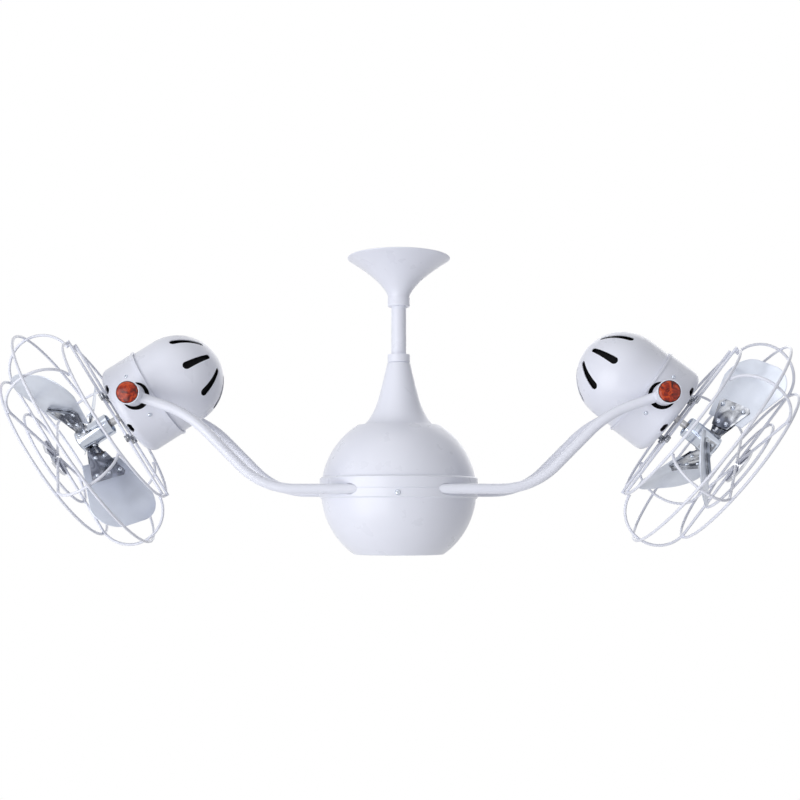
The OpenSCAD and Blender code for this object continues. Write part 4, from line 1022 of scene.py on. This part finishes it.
@dataclass
class Guard:
    """The cage of one head: ribs, rings, bridge wires, weld beads, straps and the bare front plate."""

    works: Works
    kit: Fasteners
    name: str
    place: Matrix
    wire_r: float = 1.9
    ribs: int = 6
    bend_r: float = 44.0
    bend_out: float = 115.2
    bend_fwd: float = 95.5
    rib_in: float = 6.4
    foot_angle: float = 174.0
    rear_r: float = 121.7
    front_r: float = 120.5
    inner_r: float = 69.5
    weld_gap: float = 0.06
    bead: Point = (1.25, 1.9, 1.9)
    bridge_half: float = 17.5
    ring_steps: int = 160
    bend_steps: int = 44
    clamp_out: float = 33.0
    clamp_w: float = 9.0
    strap_t: float = 1.6
    strap_gap: float = 0.35
    strap_past: float = 6.0
    strap_end: float = 3.0
    strap_tip: float = 0.05
    strap_steps: int = 56
    wrap_in: float = 0.3
    wrap: Span = (1.2, 4.2)
    strap_edge: tuple[Span, ...] = ((-1.0, 0.25), (-0.9, 0.0), (0.9, 0.0), (1.0, 0.25))
    spacer_lift: float = 0.1
    spacer_foot: tuple[Span, ...] = ((0.8, 0.0), (0.8, 1.0), (-0.8, 2.0))
    spacer_top: tuple[Span, ...] = ((-0.8, -1.2), (0.0, -0.4), (0.0, 0.0))
    spacer_sides: int = 40
    strap_head_r: float = 3.8
    drum_front: float = 33.0
    plate_r: float = 27.0
    plate_t: float = 4.0
    plate_back_edge: float = 0.8
    plate_back_steps: int = 5
    plate_front_edge: float = 1.2
    plate_front_steps: int = 8
    plate_rim: float = 2.4
    plate_dish: float = 1.3
    rim_fall: tuple[Span, Span] = ((0.0, 0.1), (0.4, 1.3))
    first_groove: float = 1.2
    groove: tuple[Span, ...] = ((0.0, 0.0), (0.3, 0.16), (0.7, 0.16), (1.0, 0.0))
    groove_pitch: float = 1.9
    boss_reach: float = 8.0
    boss_down: float = 9.0
    boss_arc: tuple[float, float, float, int] = (9.9, 50, 90, 8)
    plate_sides: int = 128
    step: float = field(init=False)
    reach: float = field(init=False)
    rib_z: float = field(init=False)
    bridge_z: float = field(init=False)
    hoops: list[Span] = field(init=False)

    def __post_init__(self) -> None:
        """Works out where rings and wires stand from the circle that the ribs bend round."""
        self.step = 2 * self.wire_r + self.weld_gap
        self.reach = self.bend_r + self.step
        rear, front = (math.sqrt(self.reach ** 2 - (r - self.bend_out) ** 2)
                       for r in (self.rear_r, self.front_r))
        self.rib_z = self.bend_fwd + self.bend_r
        self.bridge_z = self.bend_fwd - rear - self.step
        self.hoops = [(self.rear_r, self.bend_fwd - rear), (self.bend_out + self.reach, self.bend_fwd),
                      (self.front_r, self.bend_fwd + front)]

    def build(self) -> None:
        """Makes the cage's pieces."""
        body = f"{self.name}_head"
        hoops = self.hoops + [(self.inner_r, self.rib_z + self.step)]
        rings = [([self.place @ Vector((x, y, z)) for x, y in circle(r, self.ring_steps)], True)
                 for r, z in hoops]
        half = self._bridge_end() + self.wire_r
        bridges = [([self.place @ Vector((x, e * half, self.bridge_z)) for e in BOTH], False)
                   for x in (-self.bridge_half, self.bridge_half)]
        self.works.wires(f"{self.name}_cage_rings", rings + bridges, self.wire_r, Look.ENAMEL, body,
                         f"{self.name}_guard_rings")
        self.works.wires(f"{self.name}_cage_ribs", [(self._rib(a), False) for a in self._angles()],
                         self.wire_r, Look.ENAMEL, body, f"{self.name}_guard_ribs")
        self.works.stamps(f"{self.name}_cage_welds", self.kit.bead, self._welds(), Look.ENAMEL, body)
        self._straps(body)
        clay = Clay()
        clay.lathe(self._plate(), self.place, self.plate_sides)
        self.works.piece(f"{self.name}_front_disc", clay, Look.TURNED, body, f"{self.name}_front_plate")

    def _angles(self) -> list[float]:
        """The ribs' angles about the axis."""
        return [math.pi / 2 + 2 * math.pi * k / self.ribs for k in range(self.ribs)]

    def _bridge_end(self) -> float:
        """How far out the bridge wires meet the rear ring."""
        return math.sqrt(self.rear_r ** 2 - self.bridge_half ** 2)

    def _rib(self, angle: float) -> list[Vector]:
        """A rib: straight over the front, then round its bend."""
        line = [(self.rib_in, self.rib_z)]
        line += [(self.bend_out + self.bend_r * math.sin(turn), self.bend_fwd + self.bend_r * math.cos(turn))
                 for turn in even(0.0, math.radians(self.foot_angle), self.bend_steps)]
        return [self.place @ Vector((r * math.cos(angle), r * math.sin(angle), z)) for r, z in line]

    def _welds(self) -> list[Place]:
        """Beads where ribs cross rings and where the bridge wires meet the rear ring."""
        out, fwd = self.bend_out, self.bend_fwd
        share = (self.bend_r + self.wire_r) / self.reach
        crossings = [(out + (r - out) * share, fwd + (z - fwd) * share) for r, z in self.hoops]
        crossings.append((self.inner_r, self.rib_z + self.wire_r))
        size = Vector(self.bead)
        places = []
        for angle in self._angles():
            spin = self.place @ Matrix.Rotation(angle, 4, "Z")
            for r, z in crossings:
                lean = math.atan2(z - fwd, r - out)
                places.append((spin @ shifted(r, 0.0, z) @ Matrix.Rotation(-lean, 4, "Y"), size))
        for x in (-self.bridge_half, self.bridge_half):
            for e in BOTH:
                spot = shifted(x, e * self._bridge_end(), self.hoops[0][1] - self.wire_r)
                places.append((self.place @ spot @ about("Y", 90), size))
        return places

    def _straps(self, body: str) -> None:
        """Two pairs of straps pressed round the bridge wires, their spacers and screws."""
        clay = Clay()
        heads: list[Place] = []
        foot, top = self.drum_front - self.bridge_z + self.spacer_lift, -self.strap_gap - self.strap_t
        mid_r = self.clamp_w / 2
        spacer = [(mid_r + out, foot + up) for out, up in self.spacer_foot]
        spacer += [(mid_r + out, top + up) for out, up in self.spacer_top]
        for e in BOTH:
            base = self.place @ shifted(0.0, e * self.clamp_out, self.bridge_z)
            for up in BOTH:
                clay.slab(*self._strap(base, up))
            clay.lathe([(0.0, foot)] + spacer + [(0.0, top)], base, self.spacer_sides)
            heads.append((base @ shifted(0.0, 0.0, self.strap_gap + self.strap_t), scaled(self.strap_head_r)))
        self.works.piece(f"{self.name}_cage_straps", clay, Look.IRON, body, f"{self.name}_guard_clamps")
        self.works.stamps(f"{self.name}_strap_screws", self.kit.screw, heads, Look.CHROME, body)

    def _strap(self, base: Matrix, up: int) -> tuple[Rows, Rows]:
        """The two faces of one strap.

        Args:
            base: The clamp's frame.
            up: 1 for the strap in front of the wires, -1 for the one behind them.

        Returns:
            The inner and the outer face.
        """
        reach = self.bridge_half + self.strap_past
        inner, outer = [], []
        for x in even(-reach, reach, self.strap_steps):
            near = abs(abs(x) - self.bridge_half)
            lift = self.strap_gap + (self.wire_r - self.wrap_in) * (1 - smooth_step(*self.wrap, near))
            past = max(0.0, (abs(x) - reach + self.strap_end) / self.strap_end)
            half = self.clamp_w / 2 * math.sqrt(max(self.strap_tip, 1 - past ** 2))
            inner.append([base @ Vector((x, half * y, up * (lift + s))) for y, s in self.strap_edge])
            outer.append([base @ Vector((x, half * y, up * (lift + self.strap_t - s)))
                          for y, s in self.strap_edge])
        return inner, outer

    def _plate(self) -> Profile:
        """The bare plate: a turned rim round a dish with fine turned steps and a low boss."""
        back = self.rib_z + self.wire_r + self.weld_gap
        top, rear, front = back + self.plate_t, self.plate_back_edge, self.plate_front_edge
        line = [(0.0, back), (self.plate_r - rear, back)]
        line += arc((self.plate_r - rear, back + rear), rear, -90, 0, self.plate_back_steps)
        line += arc((self.plate_r - front, top - front), front, 0, 90, self.plate_front_steps)
        line += [(self.plate_r - self.plate_rim - inwards, top - down) for inwards, down in self.rim_fall]
        radius, floor = self.plate_r - self.plate_rim - self.first_groove, top - self.plate_dish
        while radius > self.boss_reach:
            line += [(radius - inwards, floor - down) for inwards, down in self.groove]
            radius -= self.groove_pitch
        return line + arc((0.0, floor - self.boss_down), *self.boss_arc)[1:]


@dataclass
class Rotor:
    """What turns in front of one motor: hub cup, folded irons, their fixings and pressed blades."""

    works: Works
    kit: Fasteners
    name: str
    place: Matrix
    phase: float
    blades: int = 3
    pitch: float = 42.0
    fwd: float = 92.5
    tip_r: float = 136.0
    root_r: float = 38.0
    width: float = 100.0
    root_w: float = 58.0
    tip_corner: float = 36.0
    thick: float = 1.2
    camber_r: float = 400.0
    blade_steps: tuple[int, int, int] = (30, 18, 28)
    hem_r: float = 0.75
    hem_sides: int = 10
    hub_r: float = 15.0
    hub_back: float = 56.0
    hub_l: float = 49.0
    hub_wall: float = 2.0
    hub_rim_steps: int = 10
    hub_corner: float = 3.0
    hub_corner_steps: int = 8
    hub_line: tuple[Span, ...] = ((0.0, 10.0), (0.35, 10.3), (0.35, 10.8), (0.0, 11.1))
    cup: float = 12.0
    shaft_r: float = 5.05
    gap: float = 0.1
    iron_t: float = 2.0
    iron_root_w: float = 18.0
    iron_end_w: float = 54.0
    iron_end_r: float = 66.0
    iron_corner: float = 5.0
    iron_in: float = 0.6
    iron_soft: float = 0.3
    iron_steps: tuple[int, int] = (26, 20)
    crown: float = 1.4
    crown_y: Span = (2.0, 5.5)
    crown_x: Span = (38.0, 50.0)
    iron_lip: float = 3.0
    lip_r: float = 2.4
    lip_t: float = 1.6
    lip_back: float = 3.2
    lip_up: float = 1.2
    lip_drop: float = 2.2
    lip_squash: Span = (0.72, 0.86)
    lip_steps: int = 4
    backing_t: float = 1.2
    backing_in: float = 26.0
    foot_w: float = 19.0
    foot_h: float = 17.0
    foot_gap: float = 0.05
    foot_edge: float = 0.35
    foot_steps: tuple[int, int] = (8, 24)
    screws: tuple[Span, ...] = ((58, -18), (58, 0), (58, 18), (33, -7), (33, 7))
    head_r: float = 3.2
    head_turn: float = 37.0
    foot_head_r: float = 2.4
    foot_turn: float = 18.0
    foot_screw_z: float = 4.0

    def build(self) -> None:
        """Makes the rotor's pieces."""
        body = f"{self.name}_rotor"
        cup = Clay()
        cup.lathe(self._hub(), self.place, loop=True)
        self.works.piece(f"{self.name}_hub_cup", cup, Look.CHROME, body, f"{self.name}_blade_hub")
        sheets, irons = Clay(), Clay()
        hems: list[tuple[Sequence[Vector], bool]] = []
        fronts: list[Place] = []
        backs: list[Place] = []
        for k in range(self.blades):
            turned = self.place @ about("Z", self.phase + 360 / self.blades * k)
            own = turned @ shifted(0.0, 0.0, self.fwd) @ about("X", self.pitch)
            hems.append((self._blade(sheets, own), True))
            self._iron(irons, own)
            self._foot(irons, turned)
            self._fixings(fronts, backs, own, turned)
        self.works.piece(f"{self.name}_pressed_blades", sheets, Look.BLADE, body, f"{self.name}_blades")
        self.works.wires(f"{self.name}_blade_hems", hems, self.hem_r, Look.BLADE, body, sides=self.hem_sides)
        self.works.piece(f"{self.name}_folded_irons", irons, Look.IRON, body, f"{self.name}_blade_irons")
        self.works.stamps(f"{self.name}_iron_screws", self.kit.screw, fronts, Look.CHROME, body,
                          f"{self.name}_blade_screws")
        self.works.stamps(f"{self.name}_iron_nuts", self.kit.nut, backs, Look.CHROME, body)

    def _hub(self) -> Profile:
        """The cup's closed profile, with rounded edges and a turned line round it."""
        back, front = self.hub_back, self.hub_back + self.hub_l
        wall, corner = self.hub_wall, self.hub_corner
        return ([(self.shaft_r, back + self.cup), (self.hub_r - wall, back + self.cup)]
                + arc((self.hub_r - wall / 2, back + wall / 2), wall / 2, 180, 360, self.hub_rim_steps)
                + [(self.hub_r - down, back + z) for down, z in self.hub_line]
                + arc((self.hub_r - corner, front - corner), corner, 0, 90, self.hub_corner_steps)
                + [(self.shaft_r, front)])

    def _camber(self, y: float) -> float:
        """How far the bent sheet rises at y from its middle line."""
        return self.camber_r - math.sqrt(self.camber_r ** 2 - y * y)

    def _half(self, x: float) -> float:
        """Half the blade's width at x."""
        widest = self.tip_r - self.tip_corner
        if x <= widest:
            return (self.root_w + (self.width - self.root_w) * (x - self.root_r) / (widest - self.root_r)) / 2
        return self.width / 2 - self.tip_corner + math.sqrt(max(0.0, self.tip_corner ** 2 - (x - widest) ** 2))

    def _iron_half(self, x: float) -> float:
        """Half the iron's width at x."""
        edge_x = self.iron_end_r - self.iron_corner
        if x > edge_x:
            return self.iron_end_w / 2 - (x - edge_x)
        slope = (self.iron_end_w - self.iron_root_w) / (edge_x - self.hub_r) / 2
        return self.iron_root_w / 2 + slope * (x - self.hub_r)

    def _sheet(self, own: Matrix, rows: Sequence[tuple[float, list[float]]], low: float, high: float,
               crown: float = 0.0, soft: float = 0.0) -> tuple[Rows, Rows]:
        """The faces of a sheet that follows the blade's camber.

        Args:
            own: The blade's frame.
            rows: Each row's place along the blade and its points across it.
            low: How high the sheet's back lies over the camber.
            high: How high its front lies.
            crown: How far its middle is raised near the hub.
            soft: How far its long edges are rounded off.

        Returns:
            The back and the front.
        """
        back, front = [], []
        for x, ys in rows:
            near = 1 - smooth_step(*self.crown_x, x)
            heights = [self._camber(y) + crown * near * (1 - smooth_step(*self.crown_y, abs(y))) for y in ys]
            edges = [soft] + [0.0] * (len(ys) - 2) + [soft]
            back.append([own @ Vector((x, y, z + low + s)) for y, z, s in zip(ys, heights, edges)])
            front.append([own @ Vector((x, y, z + high - s)) for y, z, s in zip(ys, heights, edges)])
        return back, front

    def _blade(self, clay: Clay, own: Matrix) -> list[Vector]:
        """Adds one pressed sheet to the clay and gives the path of its hem."""
        long, tip, wide = self.blade_steps
        widest = self.tip_r - self.tip_corner
        xs = even(self.root_r, widest, long)[:-1]
        xs += [widest + self.tip_corner * math.sin(turn) for turn in even(0.0, math.pi / 2, tip)]
        across = [math.sin(turn) for turn in even(-math.pi / 2, math.pi / 2, wide)]
        rows = [(x, [self._half(x) * part for part in across]) for x in xs]
        clay.slab(*self._sheet(own, rows, -self.thick / 2, self.thick / 2))
        near, far = ([own @ Vector((x, ys[end], self._camber(ys[end]))) for x, ys in rows] for end in (0, -1))
        return near + far[::-1]

    def _iron(self, clay: Clay, own: Matrix) -> None:
        """One folded iron with a raised middle and a flanged end, and the plate behind the blade."""
        base, (long, wide) = self.thick / 2 + self.gap, self.iron_steps
        for start, low, high, crown in (
                (self.hub_r - self.iron_in, base, base + self.iron_t, self.crown),
                (self.backing_in, -base - self.backing_t, -base, 0.0)):
            rows = [(x, even(-self._iron_half(x), self._iron_half(x), wide))
                    for x in even(start, self.iron_end_r, long)]
            clay.slab(*self._sheet(own, rows, low, high, crown, self.iron_soft))
        lip_half = self.iron_end_w / 2 - self.iron_corner
        stretch, squash = self.lip_squash
        faces: tuple[Rows, Rows] = ([], [])
        for turn in even(0.0, math.pi / 2, self.lip_steps):
            for face, r in zip(faces, (self.lip_r, self.lip_r + self.lip_t)):
                x = self.iron_end_r - self.lip_back + r * math.sin(turn) * stretch
                z = (base + self.iron_t + self.iron_lip + self.lip_up
                     - (r + self.lip_drop) * math.cos(turn) * squash)
                face.append([own @ Vector((x, y, self._camber(y) + z))
                             for y in even(-lip_half, lip_half, wide)])
        clay.slab(*faces)

    def _foot(self, clay: Clay, turned: Matrix) -> None:
        """The iron's curved foot on the hub."""
        reach = math.asin(self.foot_w / 2 / (self.hub_r + self.iron_t))
        tall, wide = self.foot_steps
        inside = self.hub_r + self.foot_gap
        faces: tuple[Rows, Rows] = ([], [])
        heights = even(-self.foot_h / 2, self.foot_h / 2, tall)
        for z in heights:
            edge = self.foot_edge if z in (heights[0], heights[-1]) else 0.0
            for face, r in zip(faces, (inside, inside + self.iron_t - edge)):
                face.append([turned @ Vector((r * math.cos(t), r * math.sin(t), self.fwd + z))
                             for t in even(-reach, reach, wide)])
        clay.slab(*faces)

    def _fixings(self, fronts: list[Place], backs: list[Place], own: Matrix, turned: Matrix) -> None:
        """The frames of one blade's screws and cap nuts.

        Args:
            fronts: The list that the screws are added to.
            backs: The list that the nuts are added to.
            own: The blade's frame.
            turned: The rotor's frame, turned to the blade.
        """
        top = self.thick / 2 + self.gap + self.iron_t - self.camber_r
        back = -self.thick / 2 - self.gap - self.backing_t - self.camber_r
        for k, (x, y) in enumerate(self.screws):
            roll = Matrix.Rotation(math.asin(y / self.camber_r), 4, "X")
            lean = own @ shifted(x, 0.0, self.camber_r) @ roll
            spin = about("Z", self.head_turn * (k + 1))
            fronts.append((lean @ shifted(0.0, 0.0, top) @ spin, scaled(self.head_r)))
            backs.append((lean @ shifted(0.0, 0.0, back) @ about("X", 180) @ spin, scaled(self.head_r)))
        out = self.hub_r + self.iron_t + self.foot_gap
        for e in BOTH:
            fronts.append((turned @ about("Z", e * self.foot_turn)
                           @ shifted(out, 0.0, self.fwd - e * self.foot_screw_z) @ about("Y", 90),
                           scaled(self.foot_head_r)))


@dataclass
class Head:
    """One tilting head: the screws and hem of its shell, its inner cup painted black as shade, its cage and
    its rotor.
    """

    works: Works
    kit: Fasteners
    name: str
    pivot: Vector
    axis: Vector
    phase: float
    drum_r: float = 63.5
    shell_screw_angle: float = 28.0
    shell_screw_back: float = 2.0
    shell_head_r: float = 2.7
    hem_back: float = 20.0
    hem_r: float = 0.9
    hem_steps: int = 180
    cup_rim: float = -24.0
    cup_mid: float = -50.5
    cup_r: float = 56.6
    cup_wall: float = 0.8
    cup_steps: int = 24

    def build(self) -> None:
        """Makes everything on this head."""
        body = f"{self.name}_head"
        first = Vector((0.0, math.copysign(1.0, self.pivot.x), 0.0))
        turn = Matrix((first, self.axis.cross(first), self.axis)).transposed().to_4x4()
        place = Matrix.Translation(self.pivot / MM) @ turn
        screws = [(place @ shifted(0.0, 0.0, -self.shell_screw_back) @ about("Z", angle + half)
                   @ about("Y", 90) @ shifted(0.0, 0.0, self.drum_r), scaled(self.shell_head_r))
                  for angle in (-self.shell_screw_angle, self.shell_screw_angle) for half in (0.0, 180.0)]
        self.works.stamps(f"{self.name}_cross_screws", self.kit.screw, screws, Look.CHROME, body,
                          f"{self.name}_shell_screws")
        hem = [place @ Vector((x, y, -self.hem_back)) for x, y in circle(self.drum_r, self.hem_steps)]
        self.works.wires(f"{self.name}_drum_hem", [(hem, True)], self.hem_r, Look.ENAMEL, body)
        # Painted shade: a near-black sheet inside the dome, where the real head has only shade
        cup = Clay()
        cup.lathe(self._cup(), place)
        self.works.piece(f"{self.name}_dark_inner_cup", cup, Look.PAINTED_SHADE, body)
        Guard(self.works, self.kit, self.name, place).build()
        Rotor(self.works, self.kit, self.name, place, self.phase).build()

    def _cup(self) -> Profile:
        """A near-black cup inside the motor, painted shade that shows through the dome's slots: outside, rim
        and inside.
        """
        middle, inner = (0.0, self.cup_mid), self.cup_r - self.cup_wall
        outside = arc(middle, self.cup_r, -90, 0, self.cup_steps) + [(self.cup_r, self.cup_rim)]
        return outside + [(inner, self.cup_rim)] + arc(middle, inner, 0, -90, self.cup_steps)


# ---------------------------------------------------------------- the scene around it


@dataclass(frozen=True)
class Lamp:
    """A square area lamp: where it stands, what it shines at, its side in metres and its watts."""

    name: str
    place: Point
    aim: Point
    size: float
    power: float

    def build(self) -> None:
        """Makes the lamp."""
        data = bpy.data.lights.new(self.name, "AREA")
        data.shape, data.size, data.energy = "SQUARE", self.size, self.power
        lamp = bpy.data.objects.new(self.name, data)
        lamp.location = self.place
        lamp.rotation_euler = (Vector(self.aim) - Vector(self.place)).to_track_quat("-Z", "Y").to_euler()
        bpy.context.scene.collection.objects.link(lamp)


@dataclass
class Studio:
    """A pale floor, soft lamps and a white surround."""

    floor_down: float = 2.3
    floor_half: float = 7.0
    floor_glow: float = 0.93
    floor_colour: Colour = (0.86, 0.86, 0.87)
    floor_roughness: float = 0.8
    fill: float = 0.33
    lamps: tuple[Lamp, ...] = (
        Lamp("key", (-2.0, -2.3, -0.85), (0.0, 0.0, -0.25), 2.8, 70.0),
        Lamp("fill", (1.9, -2.0, -0.3), (0.0, 0.0, -0.25), 2.4, 4.0),
        Lamp("top", (-0.6, -1.2, 1.9), (0.0, 0.0, -0.25), 2.4, 15.0),
        Lamp("back", (0.9, 3.2, 1.4), (0.0, 0.0, -0.2), 3.0, 22.0),
    )

    def build(self) -> None:
        """Makes floor, lamps and world."""
        self._floor()
        for lamp in self.lamps:
            lamp.build()
        self._world()
        bpy.context.scene.view_settings.view_transform = "Standard"

    def _floor(self) -> None:
        """A wide pale floor well below the hanging fan, nearly white where the camera sees it."""
        mesh = bpy.data.meshes.new("floor")
        mesh.from_pydata([(x * self.floor_half, y * self.floor_half, -self.floor_down)
                          for x, y in ((-1, -1), (1, -1), (1, 1), (-1, 1))], [], [(0, 1, 2, 3)])
        floor = in_scene("floor", mesh)
        material = bpy.data.materials.new("pale_floor")
        material.use_nodes = True
        mesh.materials.append(material)
        tree = material.node_tree
        shader = tree.nodes["Principled BSDF"]
        shader.inputs["Base Color"].default_value = (*self.floor_colour, 1.0)
        shader.inputs["Roughness"].default_value = self.floor_roughness
        share = add_node(tree, "ShaderNodeMath", self._seen(tree), self.floor_glow)
        share.operation = "MULTIPLY"
        glow = add_node(tree, "ShaderNodeEmission", Color=WHITE, Strength=1.0)
        mix = add_node(tree, "ShaderNodeMixShader", share.outputs[0], shader.outputs[0], glow.outputs[0])
        tree.links.new(mix.outputs[0], tree.nodes["Material Output"].inputs["Surface"])

    @staticmethod
    def _seen(tree: bpy.types.NodeTree) -> bpy.types.NodeSocket:
        """1 where the camera sees the surface, directly, in a reflection or through glass."""
        path = tree.nodes.new("ShaderNodeLightPath")
        value = path.outputs["Is Camera Ray"]
        for name in ("Is Glossy Ray", "Is Transmission Ray"):
            node = add_node(tree, "ShaderNodeMath", value, path.outputs[name])
            node.operation = "MAXIMUM"
            value = node.outputs[0]
        return value

    def _world(self) -> None:
        """Soft even light, seen as white by the camera and in reflections."""
        world = bpy.data.worlds.new("surround")
        bpy.context.scene.world = world
        world.use_nodes = True
        tree = world.node_tree
        soft = tree.nodes["Background"]
        soft.inputs["Color"].default_value = WHITE
        soft.inputs["Strength"].default_value = self.fill
        white = add_node(tree, "ShaderNodeBackground", Color=WHITE, Strength=1.0)
        mix = add_node(tree, "ShaderNodeMixShader", self._seen(tree), soft.outputs[0], white.outputs[0])
        tree.links.new(mix.outputs[0], tree.nodes["World Output"].inputs["Surface"])


@dataclass
class Viewpoint:
    """The camera: a little to the left of the front and below the arms, looking slightly up."""

    azimuth: float = 0.62
    elevation: float = -5.83
    distance: float = 1.633
    aim: Point = (0.00166, 0.0, -0.19394)
    lens: float = 54.6
    clip_start: float = 0.05

    def build(self) -> None:
        """Makes the camera and makes it the scene's own."""
        turn, rise = math.radians(self.azimuth), math.radians(self.elevation)
        back = Vector((math.sin(turn) * math.cos(rise), -math.cos(turn) * math.cos(rise), math.sin(rise)))
        data = bpy.data.cameras.new("camera")
        data.lens, data.clip_start = self.lens, self.clip_start
        camera = bpy.data.objects.new("camera", data)
        camera.location = Vector(self.aim) + back * self.distance
        camera.rotation_euler = (-back).to_track_quat("-Z", "Y").to_euler()
        bpy.context.scene.collection.objects.link(camera)
        bpy.context.scene.camera = camera


# ---------------------------------------------------------------- order of work


def main() -> None:
    """Loads the frame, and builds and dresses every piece."""
    logging.basicConfig(level=logging.INFO, format="%(name)s: %(message)s")
    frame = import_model()
    Viewpoint().build()
    Studio().build()
    paints = Paints()
    dress(frame, paints)
    works = Works(paints)
    kit = Fasteners()
    joints = {joint["name"]: joint for joint in frame["record"]["behaviour"]["joints"]}
    pivot = joints["right_tilt"]["pos_m"]
    Hanging(works).build()
    Carousel(works, kit, tuple(part / MM for part in pivot)).build()
    for name, phase in PHASES.items():
        spin = joints[f"{name}_spin"]
        Head(works, kit, name, Vector(spin["pos_m"]), Vector(spin["axis"]).normalized(), phase).build()


if __name__ == "__main__":
    main()
